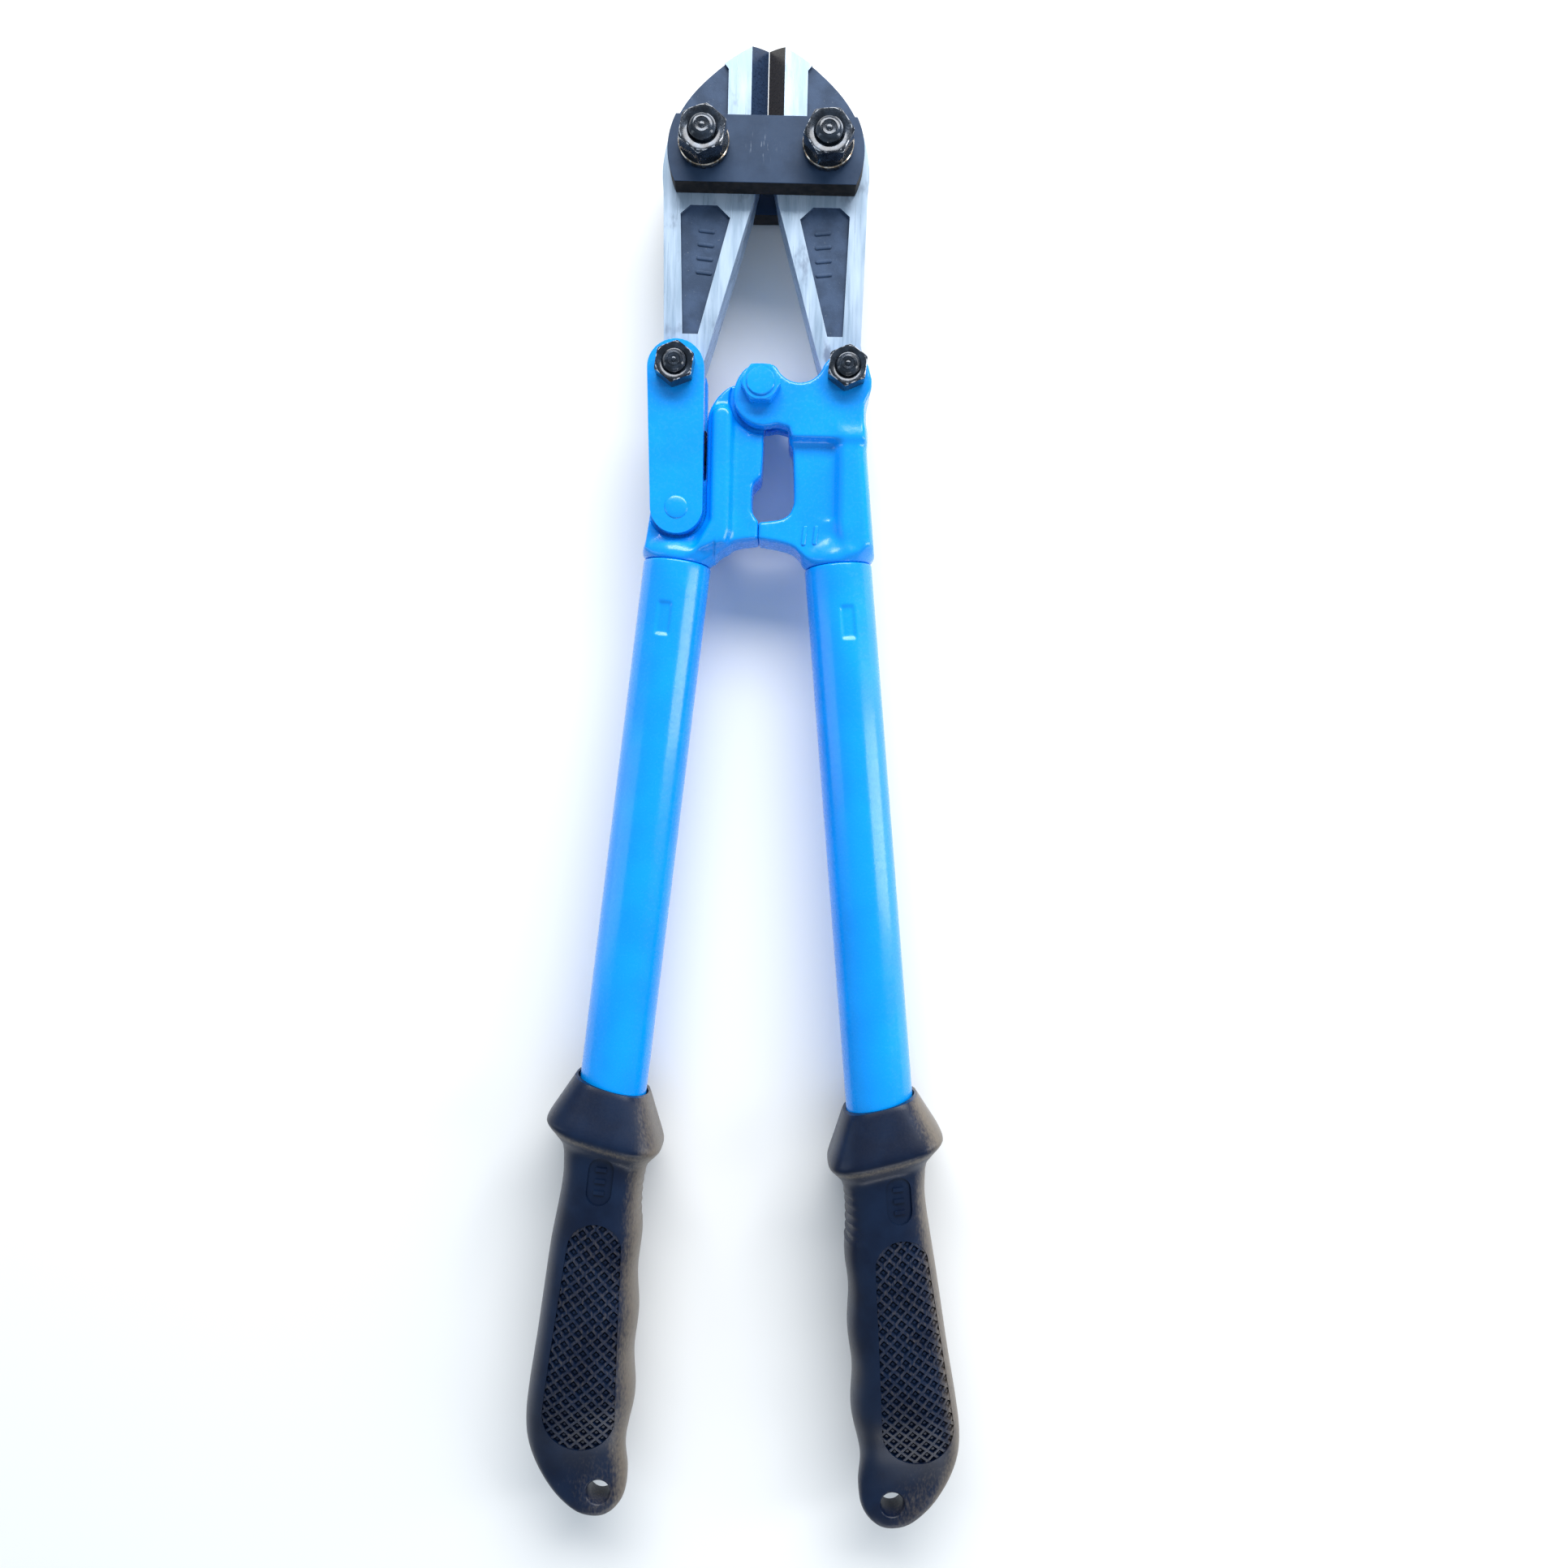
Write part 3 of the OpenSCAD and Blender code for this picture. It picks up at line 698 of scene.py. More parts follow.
def join(a, b, blend=0.0):
    """Union of two distances, with a fillet of about blend mm."""
    if not blend:
        return np.minimum(a, b)
    h = np.maximum(blend - np.abs(a - b), 0) / blend
    return np.minimum(a, b) - h * h * blend / 4


def cut(a, b, blend=0.0):
    """a without b."""
    return -join(-a, b, blend)


def curve(points, steps=6):
    """Catmull-Rom curve through points."""
    p = np.array(points, float)
    out = []
    for i in range(len(p) - 1):
        a, b, c, d = p[max(i - 1, 0)], p[i], p[i + 1], p[min(i + 2, len(p) - 1)]
        for k in range(steps):
            t = k / steps
            out.append(0.5 * (2 * b + (c - a) * t + (2 * a - 5 * b + 4 * c - d) * t * t
                              + (3 * b - a - 3 * c + d) * t ** 3))
    return [tuple(q) for q in out] + [tuple(p[-1])]


def arc(centre, r, start, end, steps=24):
    """Points along an arc between two angles in degrees."""
    angles = np.radians(np.linspace(start, end, steps + 1))
    return [(centre[0] + r * math.cos(a), centre[1] + r * math.sin(a)) for a in angles]


def strap_outline(grow=0.0):
    """Plan of the left head's link straps, grown by grow mm."""
    return arc((-TOGGLE[0], TOGGLE[1]), 8.55 + grow, 0, 180) + arc(RIVET, 7.85 + grow, 180, 360)


def tube_socket(f, solid, side):
    """Runs a head into the round end that meets its tube, with a plug inside the tube."""
    n, s = handle_coordinates(f.x, f.y, side)
    radius = np.hypot(n, f.z)
    flare = np.clip((s + 10) / 8, 0, 1)
    swell = (TUBE_R - NECK_R) * flare * flare * (3 - 2 * flare)
    neck = np.maximum(radius - NECK_R - swell, np.abs(s + 4.5) - 7)
    solid = join(solid, neck, 3.0)
    solid = cut(solid, -0.1 - s, 0.9)
    room = 0.8 * np.maximum(-0.5 - s, 0) + 3 * np.maximum(-11.2 - n, 0)
    solid = cut(solid, TUBE_R - radius + room, 0.8)
    plug = np.maximum(radius - (TUBE_R - TUBE_WALL - 0.1), np.abs(s) - 3)
    return join(solid, plug)


def left_head():
    """The left lever's forged head: a web between the straps, an upright rib and the tongue at the centre."""
    f = Field((-38, -56.5, -11.4), (6.6, 8.6, 11.4), CELL)
    window = curve([(1, -11.6), (0.6, -24.2), (-0.2, -26.5), (-1.7, -28), (-2.2, -30.7), (-2.1, -36),
                    (-1.5, -37.6), (-0.1, -39.4)])
    foot = curve([(-0.1, -44.6), (-5.6, -45.4), (-9.9, -46.8), (-12.6, -49.5), (-14, -53)])
    outline = ([(2, -7)] + window + foot + [(-34.6, -51.5), (-32.6, -37)] + arc(RIVET, 8, 165, 80, 8)
               + [(FLANK_X, -27)] + arc((-2.5, -10.5), 13.4, 180, 112, 10))
    shape = f.plan(outline, 2)
    strap = f.plan(strap_outline(0.9))
    lobe = f.disc(LOBE_AT, 10.4)
    rib_outline = (arc((-11.4, -8.5), 3.1, 0, 180, 16)
                   + [(-14.5, -40), (-20, -50), (-9.5, -47), (-8.3, -43)])
    solid = join(f.slab(shape, -6, 6, 0.8), f.slab(f.disc((0, 0), 7.1), -6, 6, 0.5))
    flank = np.maximum(f.x - FLANK_X, ADJUSTER_Y - 12 - f.y)
    web = cut(cut(shape, flank), lobe)
    solid = join(solid, f.slab(web, -WEB_Z, WEB_Z, 0.9), 0.8)
    rib = cut(f.plan(rib_outline, 3), lobe)
    solid = join(solid, f.slab(rib, -RIB_Z, RIB_Z, 2.0), 2.4)
    solid = tube_socket(f, solid, LEFT)
    beyond = 6.0 - np.abs(f.z)
    solid = cut(solid, np.maximum(strap, beyond), 0.5)
    solid = cut(solid, np.maximum(lobe, beyond), 0.4)
    solid = cut(solid, f.disc((0, 0), 5.6), 0.4)
    solid = cut(solid, f.disc(RIVET, 3.1))
    mesh = f.mesh("left_head_forging", solid)
    add_piece("left_head_forging", mesh, "left_lever", ["left_head"], [BLUE])


def arm_plan(f, lobe_r, lobe_at, lower_y):
    """Plan of a clevis arm, from the round lobe at the centre pivot to the lug at the jaw."""
    outline = [(3, lower_y + 1.5), (8.6, lower_y), (9.6, -15), (31.2, -15), (31.1, -6), (31.4, -2.2),
               (32.86, 2.88), (31.78, 6.88), (25.6, 9.6), (18.4, 7.6), (11.5, 7.4), (2.8, 6.2)]
    plan = join(f.plan(outline, 2), f.disc((0, 0), 7.1), 1.5)
    plan = join(plan, f.disc(lobe_at, lobe_r), 0.8)
    plan = join(plan, join(f.disc(TOGGLE, 6.4), f.disc((26.3, 1.1), 6.8), 1.0), 1.2)
    return cut(plan, f.disc((11.5, 9.1), 7.5), 1.2)


def right_head():
    """The right lever's forged head, slotted for the left one's tongue and for its own jaw."""
    f = Field((-11.5, -57, -11.4), (37.2, 14, 11.4), CELL)
    window = curve([(0.1, -39.7), (6.3, -38.8), (9, -37.4), (10.2, -35.3), (10.7, -32.1), (10.1, -18.8),
                    (9.5, -16), (9.3, -13)])
    edge = curve([(31.1, -6), (31.7, -19.3), (33.2, -35.2), (34.8, -51.5)])
    foot = curve([(14.2, -53), (13.4, -50), (11, -47.3), (7, -45.9), (0.1, -44.8)])
    shape = f.plan(window + [(20, -8)] + edge + foot, 2)
    solid = f.slab(shape, -WEB_Z, WEB_Z, 1.1)
    rail = [(23.4, -12), (31.3, -12), (31.7, -19.3), (33.2, -35.2), (34.6, -50), (27, -52), (24.6, -47),
            (23.6, -40)]
    solid = join(solid, f.slab(f.plan(rail, 6), -RIB_Z, RIB_Z, 2.6), 3.2)
    front = f.slab(arm_plan(f, 9.2, LOBE_AT, -12), -0.5, LUG_Z, 1.0)
    back = f.slab(arm_plan(f, 7.5, (1.4, -1.2), -9), -LUG_Z, 0.5, 1.0)
    solid = join(solid, join(front, back), 2.8)
    solid = tube_socket(f, solid, RIGHT)
    room = join(f.disc((0, 0), 9.9), np.maximum(np.abs(f.x + 5.5) - 9.5, np.abs(f.y + 0.5) - 12.5))
    room = join(room, np.maximum(np.abs(f.x - 4.3) - 4.3, np.abs(f.y + 9) - 4))
    swing = [(15, 14.5), (16, 9), (18.2, TOGGLE[1]), (42, TOGGLE[1]), (42, 20), (14.4, 20)]
    room = join(room, join(f.disc(TOGGLE, 7.1), f.plan(swing)))
    solid = cut(solid, np.maximum(room, np.abs(f.z) - SLOT_Z), 0.5)
    solid = cut(solid, f.disc((0, 0), 3.25))
    solid = cut(solid, f.disc(TOGGLE, 4.05))
    mesh = f.mesh("right_head_forging", solid)
    add_piece("right_head_forging", mesh, "right_lever", ["right_head"], [BLUE])
    bars = [bar(14.0 + 3.4 * k, -43.6 + 0.2 * k, WEB_Z, 6.0, 1.3, 0.45, math.radians(-6)) for k in range(2)]
    add_shells("right_head_bars", bars, "right_lever", [], BLUE, 40)


# ---------- links, bolts and adjuster of the left lever ----------


def links():
    """Both link straps of the left head and the domed rivet at their lower end."""
    for node in ("front_link", "back_link"):
        mesh = bevelled(node, 0.9, 3)
        add_piece(node + "_strap", mesh, "left_links", [node], [BLUE])
    dome = [(3.5 * math.cos(math.radians(a)), 0.6 * math.sin(math.radians(a))) for a in range(0, 81, 10)]
    profile = [(min(r, 3.2), -LUG_Z - z) for r, z in reversed(dome)]
    profile += [(3.0, -LUG_Z + 0.05), (3.0, LUG_Z - 0.05)]
    profile += [(r, LUG_Z + z) for r, z in dome]
    rivet = [lathe(profile, RIVET)]
    add_shells("link_rivet_pin", rivet, "left_links", ["link_rivet"], BLUE, 40)


def toggle_fasteners(side, body, turn):
    """The bolt and nut that join a jaw's tail to its lever."""
    at = (side * TOGGLE[0], TOGGLE[1])
    screw, nut = SIDE_NAME[side] + "_toggle_screw", SIDE_NAME[side] + "_toggle_hex"
    bolt = [hexagon(at, TOGGLE_HEX, -LUG_Z, -LUG_Z - 4.6),
            lathe([(3.6, -LUG_Z - 1), (4, -LUG_Z), (4, LUG_Z), (3.2, LUG_Z + 0.2)], at),
            threaded(at, 3.55, LUG_Z - 1, LUG_Z + 6.4, 1.0)]
    add_shells(screw, bolt, body, [SIDE_NAME[side] + "_toggle_bolt"], BLACK, 32)
    # the nut's narrow edges carry bright flecks as painted glints
    mesh = wear_and_glint_hexagons(mesh_of(nut, [hexagon(at, TOGGLE_HEX, LUG_Z, LUG_Z + 5.2, turn, bore=3.58)]))
    add_piece(nut, mesh, body, [SIDE_NAME[side] + "_toggle_nut"], [BLACK, CHIPS_AND_GLINTS], 32)


def across(part, x0):
    """Turns a shell made along Z into one along X at the adjuster's height, from x0 on."""
    points, faces = part
    points = np.asarray(points)
    return np.stack([x0 + points[:, 2], ADJUSTER_Y + points[:, 0], points[:, 1]], 1), faces


def adjuster():
    """The spacer block between the straps, the set screw through it and its lock nut."""
    mesh = bevelled("adjuster_block", 0.5, 3)
    add_piece("adjuster_body", mesh, "left_links", ["adjuster_block"], [BLACK])
    grub = [across(threaded((0, 0), 4, 0, 16.3), -32.4)]
    add_shells("adjuster_grub", grub, "left_links", ["adjuster_screw"], BLACK, 32)
    nut = [across(hexagon((0, 0), 10.8, 0, 5.3, 30, bore=4.02), -21.6)]
    add_shells("adjuster_hex", nut, "left_links", ["adjuster_lock_nut"], BLACK, 32)


def centre_fasteners():
    """The painted bolt of the centre pivot and the nut under it."""
    bolt = [hexagon((0, 0), 10.5, LUG_Z, LUG_Z + 4.3),
            lathe([(r, LUG_Z + z) for r, z in ((4.15, 3.9), (4.15, 4.7), (3.9, 4.95), (2.4, 5.0))], (0, 0)),
            lathe([(3.2, -LUG_Z), (3.2, LUG_Z + 1)], (0, 0)),
            threaded((0, 0), 3.2, -LUG_Z + 1, -LUG_Z - 6.2, 1.0)]
    add_shells("centre_screw", bolt, "right_lever", ["centre_bolt"], BLUE, 32)
    nut = [hexagon((0, 0), 11, -LUG_Z, -LUG_Z - 5, 0, bore=3.22)]
    add_shells("centre_hex", nut, "right_lever", ["centre_nut"], BLUE, 32)


# ---------- tubes ----------


def tube(side, body):
    """A hollow tube with a rounded upper rim and a crimp dent on its front and back."""
    count = 192
    a = around(count)

    def ring(r, s):
        n, z = r * np.cos(a), r * np.sin(a)
        return on_handle(np.stack([n, np.full(count, s), z], 1), side)

    def outer(s):
        # the dents are rectangles with soft edges, 4.2 mm wide and 9.8 mm long
        off = np.abs(TUBE_R * np.cos(a) - 1.2) / 2.1
        reach = np.exp(-off ** 8 - abs((s - 18) / 4.9) ** 14)
        return TUBE_R - 0.65 * reach * (np.abs(np.sin(a)) > 0.3)

    rim = 0.7
    rings = [ring(TUBE_R - rim + rim * math.sin(t), rim * (1 - math.cos(t))) for t in
             np.radians([0, 18, 36, 54, 72, 90])]
    stations = [2, 5, 8] + list(np.arange(10, 26.5, 0.5)) + list(range(30, TUBE_LEN, 14)) + [TUBE_LEN]
    rings += [ring(outer(s), s) for s in stations]
    rings += [ring(TUBE_R - TUBE_WALL, s) for s in (TUBE_LEN, 120, 0.3)]
    rings.append(ring(TUBE_R - TUBE_WALL + 0.3, 0))
    name = SIDE_NAME[side] + "_tube"
    add_shells(name + "_steel", [skin(rings, closed=True)], body, [name], BLUE, 40)


# ---------- grips ----------

# distance down the handle, outer edge, inner edge, half thickness, squareness
GRIP_SECTIONS = np.array([
    (162.2, 11.6, -11.3, 11.7, 0.72), (163.4, 12.2, -11.9, 12.2, 0.68), (169.5, 15.2, -14.5, 14.2, 0.62),
    (175.2, 17.9, -17.0, 16.1, 0.6), (177.2, 17.9, -17.1, 16.1, 0.6), (180.0, 15.4, -15.3, 14.3, 0.66),
    (183.0, 13.0, -13.6, 12.6, 0.72), (188.0, 12.0, -12.8, 12.3, 0.78), (195.0, 11.7, -12.8, 12.3, 0.8),
    (212.0, 13.0, -14.2, 12.7, 0.8), (238.0, 14.2, -15.6, 13.1, 0.8), (254.0, 15.2, -16.6, 11.8, 0.8),
    (264.0, 15.4, -16.4, 9.2, 0.78), (272.0, 14.3, -16.1, 6.7, 0.74), (279.0, 11.3, -16.8, 5.2, 0.66),
    (285.0, 6.9, -17.1, 5.0, 0.6), (289.0, 2.6, -15.5, 4.9, 0.6), (291.7, -1.7, -12.8, 4.4, 0.66),
    (292.9, -5.4, -9.6, 3.0, 0.8)])
GRIP_START, GRIP_END = GRIP_SECTIONS[0, 0], GRIP_SECTIONS[-1, 0]
DROP_FADE = 0.0032
HANG_S, HANG_N = 284.6, -8.4
PITCH = 2.75
RECESS_DEPTH = 1.5
LABEL_DEPTH = 0.7


def cut_grid(outline, lines, turn):
    """A flat grid of lines, turned and cut to a convex outline: points from its middle, faces, rim edges."""
    cos, sin = math.cos(turn), math.sin(turn)
    bm = bmesh.new()
    grid = [[bm.verts.new((u * cos - v * sin, u * sin + v * cos, 0)) for v in lines] for u in lines]
    for i in range(len(lines) - 1):
        for j in range(len(lines) - 1):
            bm.faces.new((grid[i][j], grid[i + 1][j], grid[i + 1][j + 1], grid[i][j + 1]))
    centre = np.mean(outline, 0)
    for a, b in zip(outline, outline[1:] + outline[:1]):
        normal = Vector((b[1] - a[1], a[0] - b[0], 0))
        if normal.length < 1e-6:
            continue
        start = Vector((a[0] - centre[0], a[1] - centre[1], 0))
        if start.dot(normal) < 0:
            normal.negate()
        bmesh.ops.bisect_plane(bm, geom=bm.verts[:] + bm.edges[:] + bm.faces[:], dist=1e-5,
                               plane_co=start, plane_no=normal, clear_outer=True)
    bmesh.ops.dissolve_degenerate(bm, dist=0.004, edges=bm.edges)
    bm.verts.index_update()
    points = np.array([v.co[:] for v in bm.verts])
    faces = [[v.index for v in face.verts] for face in bm.faces]
    rim = [[v.index for v in edge.verts] for edge in bm.edges if len(edge.link_faces) == 1]
    bm.free()
    return points, faces, rim


class Grip:
    """A moulded grip; c runs from -1 at its inner edge to 1 at its outer edge, and q down its length."""

    def __init__(self, side, bend, drop, panel_n, label):
        """bend and drop shift the grip across and down, panel_n places its lattice, label its recess."""
        self.side, self.bend, self.drop, self.panel_n, self.label = side, bend, drop, panel_n, label
        self.name = SIDE_NAME[side] + "_grip"
        self.table = np.array(curve(GRIP_SECTIONS, 8))

    def section(self, q):
        """Middle, half width, half thickness and squareness of the grip at q."""
        outer, inner, thick, square = (np.interp(q, self.table[:, 0], self.table[:, k]) for k in (1, 2, 3, 4))
        fingers = np.clip((q - 196) / 8, 0, 1) * np.clip((286 - q) / 8, 0, 1)
        inner = inner - 0.45 * fingers * np.cos((q - 206) * 2 * math.pi / 25)
        return (outer + inner) / 2, (outer - inner) / 2, thick, square

    def bent(self, q):
        """How far the grip's lower part is bent outwards at q."""
        return self.bend * np.maximum(0, q - 210) / 60

    def s_of(self, q):
        """Distance down the handle for q down the grip; the drop fades towards the tail."""
        return q + self.drop * (1 - DROP_FADE * (q - 162))

    def q_of(self, s):
        return (s - self.drop * (1 + DROP_FADE * 162)) / (1 - DROP_FADE * self.drop)

    def height(self, n, q):
        """Height of the grip's face over the handle's axis at n across and q down it."""
        mid, half, thick, square = self.section(q)
        c = np.clip(np.abs((n - self.bent(q) - mid) / half), 0, 0.999)
        return thick * (1 - c ** (2 / square)) ** (square / 2)

    def thumb_ribs(self, c, q):
        """Short ribs across the inner edge under the collar, nearly worn away on the left grip."""
        if not 186 < q < 203:
            return 0
        depth = 0.4 if self.side == RIGHT else 0.15
        return depth * np.clip(-c * 2 - 1, 0, 1) * math.cos((q - 186.5) * 2 * math.pi / 3.3)

    def loft(self):
        """The moulding's outer shell, with a collar that slants."""
        count = 120
        a = around(count)
        cos, sin = np.cos(a), np.sin(a)
        stops = np.concatenate([np.linspace(GRIP_START, 186, 34), np.linspace(187, 290, 100),
                                np.linspace(290.5, GRIP_END, 7)])
        rings = []
        for q in stops:
            mid, half, thick, square = self.section(q)
            c = np.sign(cos) * np.abs(cos) ** square
            z = thick * np.sign(sin) * np.abs(sin) ** square
            slant = 0.17 * np.clip((205 - q) / 20, 0, 1)
            n = mid + half * c - self.thumb_ribs(c, q) + self.bent(q)
            rings.append(on_handle(np.stack([n, self.s_of(q) - slant * half * c, z], 1), self.side))
        return skin(rings)

    def patch(self, outline, lines, turn, top, bottom):
        """A solid over the part of a grid of lines that lies within a convex outline of (n, q) points.

        top(ground, u, v) and bottom(ground) give its heights from the grip's own face, which is the ground.
        """
        flat, faces, rim = cut_grid(outline, lines, turn)
        centre = np.mean(outline, 0)
        n, q = flat[:, 0] + centre[0], flat[:, 1] + centre[1]
        n = n + self.bent(q)
        u = flat[:, 0] * math.cos(turn) + flat[:, 1] * math.sin(turn)
        v = -flat[:, 0] * math.sin(turn) + flat[:, 1] * math.cos(turn)
        ground = self.height(n, q)
        layers = [np.stack([n, self.s_of(q), level], 1) for level in (top(ground, u, v), bottom(ground))]
        count = len(flat)
        faces = (faces + [[count + i for i in reversed(face)] for face in faces]
                 + [[a, b, count + b, count + a] for a, b in rim])
        return np.concatenate(layers), faces

    def recess(self, outline, depth):
        """A cutter that sinks an outline by depth mm under the grip's face."""
        lines = list(np.arange(-50, 50.1, 2.0))
        return self.patch(outline, lines, 0, lambda z, u, v: z * 0 + 30, lambda z: z - depth)

    def both_faces(self, solid):
        """A solid on the front of the grip and its twin on the back, in the tool's frame."""
        points, faces = solid
        flipped = points * (1, 1, -1)
        return [(on_handle(points, self.side), faces), (on_handle(flipped, self.side), faces)]

    def panel_outline(self, shrink=0.0):
        """Two round ends of the lattice panel and the straight flanks between them."""
        upper = arc((self.panel_n, 209.6), 8.1 - shrink, 180, 360, 14)
        lower = arc((self.panel_n, 260.6), 11.0 - shrink, 0, 180, 18)
        return upper + lower

    def label_outline(self):
        n0, n1, q0, q1 = self.label
        n, r = (n0 + n1) / 2, (n1 - n0) / 2
        return arc((n, q0 + r), r, 180, 360, 10) + arc((n, q1 - r), r, 0, 180, 10)

    def hanging_hole(self):
        """A cutter through the tail, flared at both faces."""
        n = HANG_N + 1.5 * self.bent(HANG_S)
        at = on_handle([(n, self.s_of(HANG_S), 0)], self.side)[0]
        flare = [(3.6, 4.2), (3.8, 4.7), (4.3, 5.0), (5.6, 9)]
        return lathe([(r, -z) for r, z in reversed(flare)] + flare, at[:2], count=48)

    def tube_bore(self):
        """A cutter for the tube's bore, wider at its mouth."""
        count = 72
        a = around(count)
        rings = []
        for r, s in ((11.2, 150), (11.0, 160), (10.9, 163.5), (10.34, 167), (10.34, TUBE_LEN + 0.2)):
            rings.append(on_handle(np.stack([r * np.cos(a), np.full(count, s), r * np.sin(a)], 1), self.side))
        return skin(rings)


def lattice_depth(u, v):
    """Depth below the ribs of a lattice of square pits, each with a small block on its floor."""
    off = np.maximum(np.abs((u + PITCH / 2) % PITCH - PITCH / 2), np.abs((v + PITCH / 2) % PITCH - PITCH / 2))
    return np.interp(off, (0.4, 0.5, 0.85, 1.0), (0.55, 1.0, 1.0, 0))


def carved(mesh, cutters):
    """The mesh with closed shells, given as parts in mm, cut out of it."""
    tools = show("cutters", mesh_of("cutters", cutters))

    def carve(helper):
        modifier = helper.modifiers.new("carve", "BOOLEAN")
        modifier.operation = "DIFFERENCE"
        modifier.solver = "EXACT"
        modifier.object = tools

    result = with_modifiers(mesh, carve)
    bpy.data.objects.remove(tools)
    return result


def grip_moulding(g, body):
    """The grip itself, with its panels, label, hanging hole and tube bore cut out."""
    name = g.name + "_moulding"
    cutters = g.both_faces(g.recess(g.panel_outline(), RECESS_DEPTH)) + [g.hanging_hole(), g.tube_bore()]
    cutters += g.both_faces(g.recess(g.label_outline(), LABEL_DEPTH))[:1]
    mesh = carved(mesh_of(name, [g.loft()]), cutters)
    add_wear_and_sheen(mesh, g)
    add_piece(name, mesh, body, [g.name], [RUBBER], 38)


def grip_lattice(g, body):
    """The ribs and pits that fill both panels, just below the grip's face."""
    name = g.name + "_lattice"
    steps = (0.4, 0.5, 0.85, 1.0)
    offsets = [-step for step in reversed(steps)] + list(steps)
    lines = sorted(k * PITCH + off for k in range(-17, 18) for off in offsets)
    solid = g.patch(g.panel_outline(0.02), lines, math.radians(45),
                    lambda z, u, v: z - 0.2 - lattice_depth(u, v), lambda z: z - RECESS_DEPTH + 0.01)
    mesh = mesh_of(name, g.both_faces(solid))
    # rib tops get a painted highlight, partly scuffing
    add_wear_and_sheen(mesh, g, 0.33)
    add_piece(name, mesh, body, [], [RUBBER], 20)


def grip_bars(g, body):
    """Three plain bars in the label's recess."""
    name = g.name + "_bars"
    lines = list(np.arange(-3, 3.1, 0.5))
    n0, n1, q0, q1 = g.label
    n, r = (n0 + n1) / 2, (n1 - n0) / 2
    bars = []
    for k in range(3):
        q = q0 + r + (q1 - q0 - 2 * r) * k / 2
        outline = [(n - 1.6, q - 0.55), (n + 1.6, q - 0.55), (n + 1.6, q + 0.55), (n - 1.6, q + 0.55)]
        solid = g.patch(outline, lines, 0, lambda z, u, v: z - 0.1, lambda z: z - LABEL_DEPTH - 0.15)
        bars.append(g.both_faces(solid)[0])
    mesh = mesh_of(name, bars)
    add_wear_and_sheen(mesh, g)
    add_piece(name, mesh, body, [], [RUBBER], 30)


def add_wear_and_sheen(mesh, g, rib_highlight=0.0):
    """Stores how far hands have scuffed a grip, together with painted sheen: most on the edge towards +X,
    where the light falls, a painted highlight on the collar's ridge, and on the tail.

    The last argument is the painted highlight, partly scuffing, given to all that lies within 0.3 mm of the
    grip's face.
    """
    co = np.zeros(len(mesh.vertices) * 3)
    mesh.vertices.foreach_get("co", co)
    x, y, z = ((co.reshape(-1, 3) - ORIGIN) * 1000).T
    n, s = handle_coordinates(x, y, g.side)
    q = np.clip(g.q_of(s), GRIP_START, GRIP_END)
    mid, half, _, _ = g.section(q)
    lit = g.side * (n - g.bent(q) - mid) / half
    # edges: scuffing and painted sheen on the side facing +X, where the light falls, and a little on the far
    # side
    edges = np.clip((lit - 0.55) / 0.42, 0, 1) + 0.3 * np.clip((-lit - 0.85) / 0.15, 0, 1)
    # ridge: a painted highlight line along the collar's ridge
    ridge = np.exp(-((q + 0.17 * n - 178.8) / 1.2) ** 2) * 0.7
    # tail: scuffing with painted sheen, stronger towards +X
    tail = np.clip((q - 264) / 20, 0, 1) * np.clip((lit + 0.9) / 1.2, 0.2, 1) * 0.4
    # rib tops: painted highlight
    ribs = rib_highlight * (g.height(n, q) - np.abs(z) < 0.3)
    wear_and_sheen = np.maximum(np.maximum(edges, ridge), np.maximum(tail, ribs))
    mesh.attributes.new("wear_and_sheen", "FLOAT", "POINT").data.foreach_set("value", wear_and_sheen.astype(np.float32))


def grip(side, body, bend, drop, panel_n, label):
    g = Grip(side, bend, drop, panel_n, label)
    grip_moulding(g, body)
    grip_lattice(g, body)
    grip_bars(g, body)


# ---------- the object ----------

plates()
jaw_fasteners()
jaw(LEFT, "left_jaw", NAVY_EDGE)
jaw(RIGHT, "right_jaw", BROWN_EDGE)
left_head()
right_head()
links()
toggle_fasteners(LEFT, "left_links", 22)
toggle_fasteners(RIGHT, "right_lever", 24)
adjuster()
centre_fasteners()
tube(LEFT, "left_lever")
tube(RIGHT, "right_lever")
grip(LEFT, "left_lever", -1.4, -1.9, -1.5, (-4.7, 2.9, 181.5, 196))
grip(RIGHT, "right_lever", 1.4, 1.9, 2.4, (-0.9, 6.7, 182.3, 196.8))

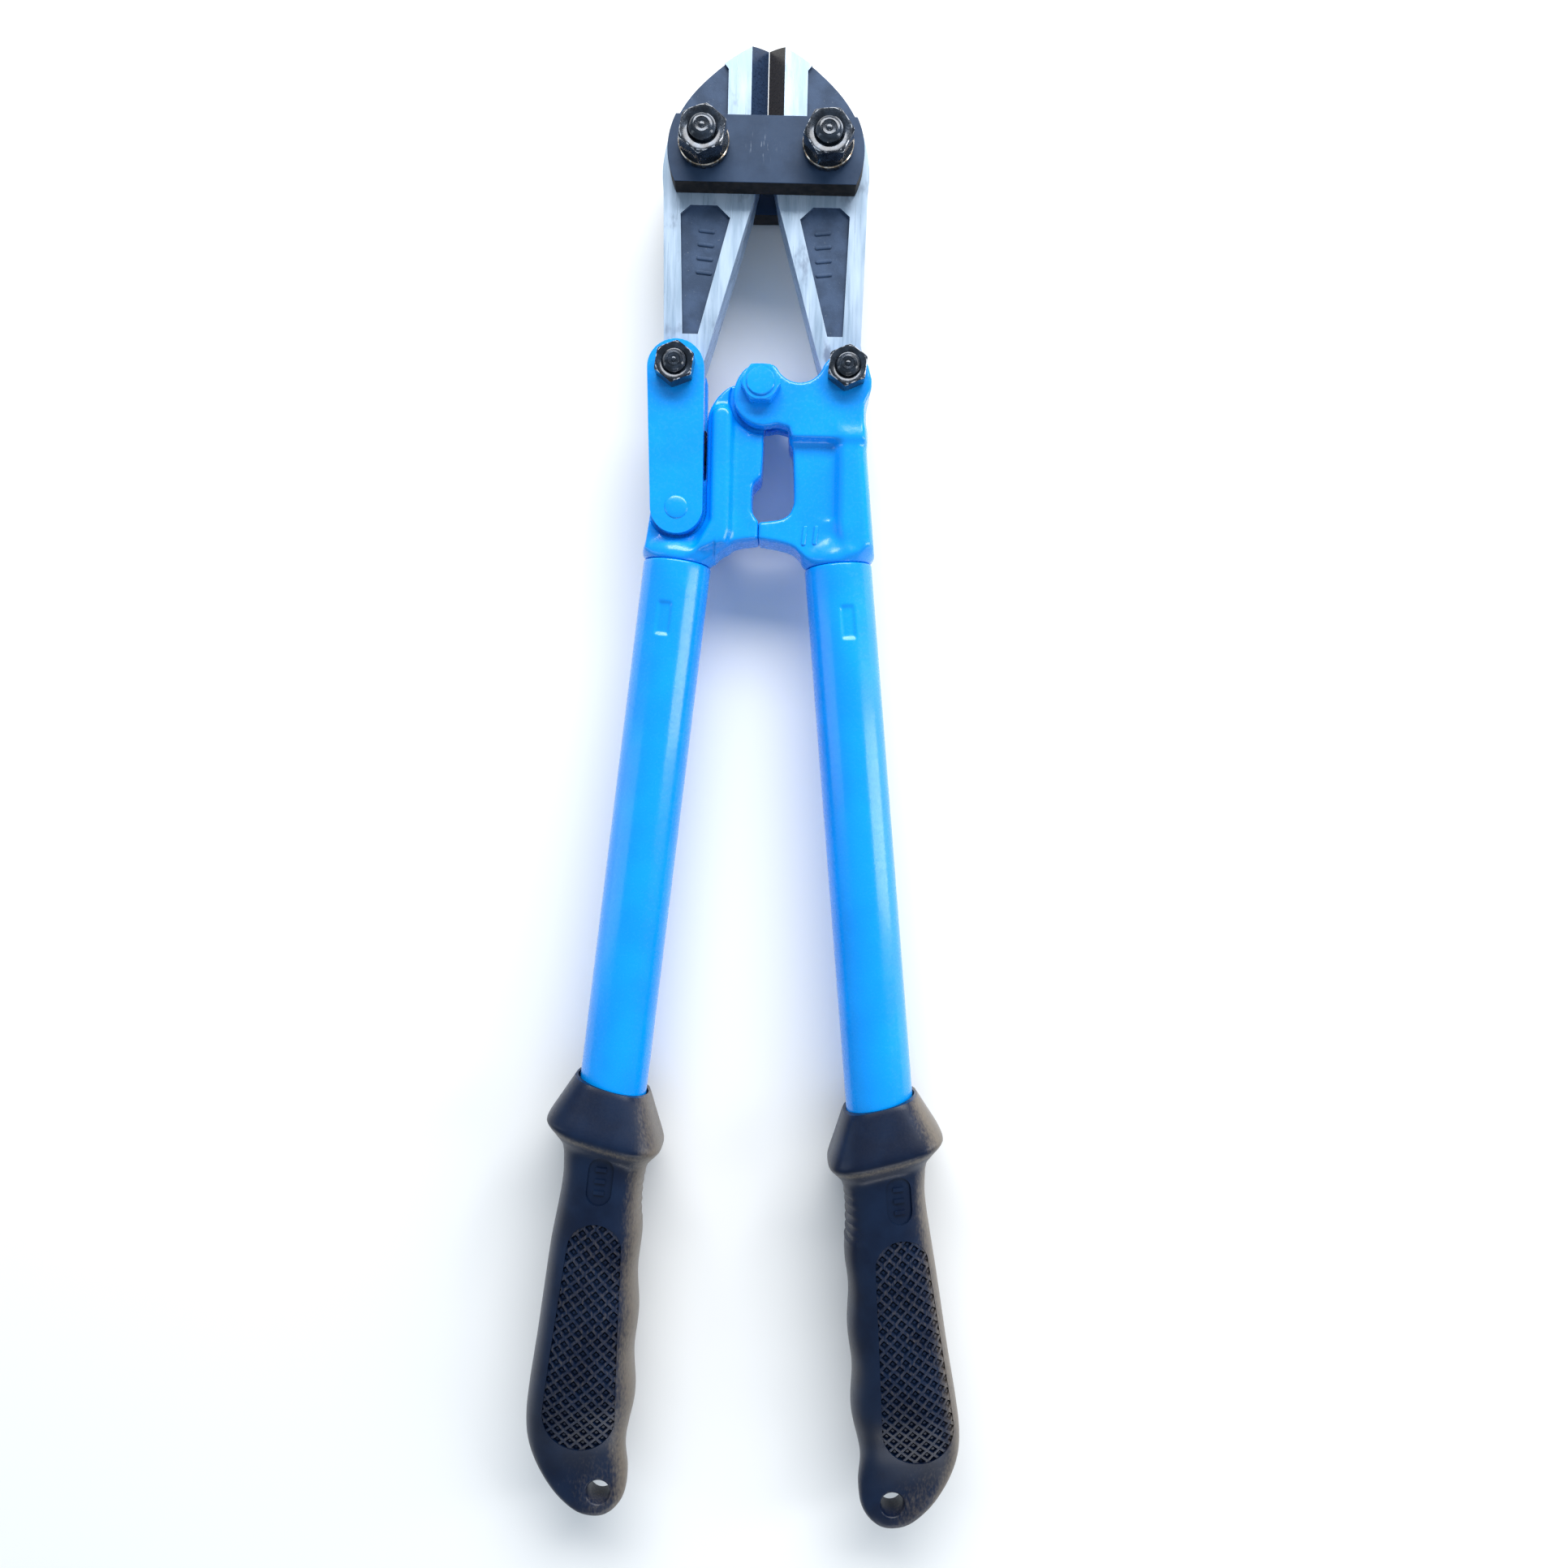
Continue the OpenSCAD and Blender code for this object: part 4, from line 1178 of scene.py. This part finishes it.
# ---------- floor, lights and camera ----------


def floor():
    """A sheet of white paper under the tool, much larger than the tool."""
    half = 3.0
    bm = bmesh.new()
    corners = ((-half, -half), (half, -half), (half, half), (-half, half))
    bm.faces.new([bm.verts.new((x, y, 0.0)) for x, y in corners])
    mesh = mesh_from(bm, "floor")
    paper = Finish("paper", (0.9, 0.9, 0.9), 0.9)
    paper.link("Base Color", paper.mix(paper.noise(0.004, 2), (0.88, 0.885, 0.89), (0.92, 0.92, 0.92)))
    mesh.materials.append(paper.material)
    show("floor", mesh)


def softbox(name, location, size, power, color=(1, 1, 1)):
    """A rectangular area light that faces the middle of the tool."""
    light = bpy.data.lights.new(name, "AREA")
    light.shape = "RECTANGLE"
    light.size, light.size_y = size
    light.energy = power
    light.color = color
    lamp = show(name, light)
    lamp.location = location
    target = Vector((0, 0, 0.02))
    lamp.rotation_euler = (target - Vector(location)).to_track_quat("-Z", "Y").to_euler()


def studio():
    """A pale blue surround and four softboxes, the brightest over the jaw end."""
    warm = (1.0, 0.99, 0.97)
    world = bpy.data.worlds.new("studio")
    world.use_nodes = True
    world.node_tree.nodes["Background"].inputs["Color"].default_value = (0.7, 0.85, 1.0, 1)
    world.node_tree.nodes["Background"].inputs["Strength"].default_value = 0.42
    bpy.context.scene.world = world
    softbox("top", (0.15, 1.1, 0.9), (1.6, 0.6), 33, warm)
    softbox("right", (1.0, 0.05, 0.16), (0.24, 1.5), 8, warm)
    softbox("left", (-1.0, 0.0, 0.2), (0.25, 1.5), 2.2, (0.8, 0.9, 1.0))
    softbox("foot", (0.2, -1.1, 0.3), (0.9, 0.12), 2.5)


def camera():
    """Straight down from above the levers, turned a little about its own axis."""
    data = bpy.data.cameras.new("camera")
    data.sensor_width = 36
    data.lens = 26.4
    view = show("camera", data)
    view.location = (0.0096, 0.0006, 0.3724)
    view.rotation_euler = (0, 0, math.radians(1.3))
    bpy.context.scene.camera = view


floor()
studio()
camera()
bpy.context.scene.view_settings.view_transform = "Standard"
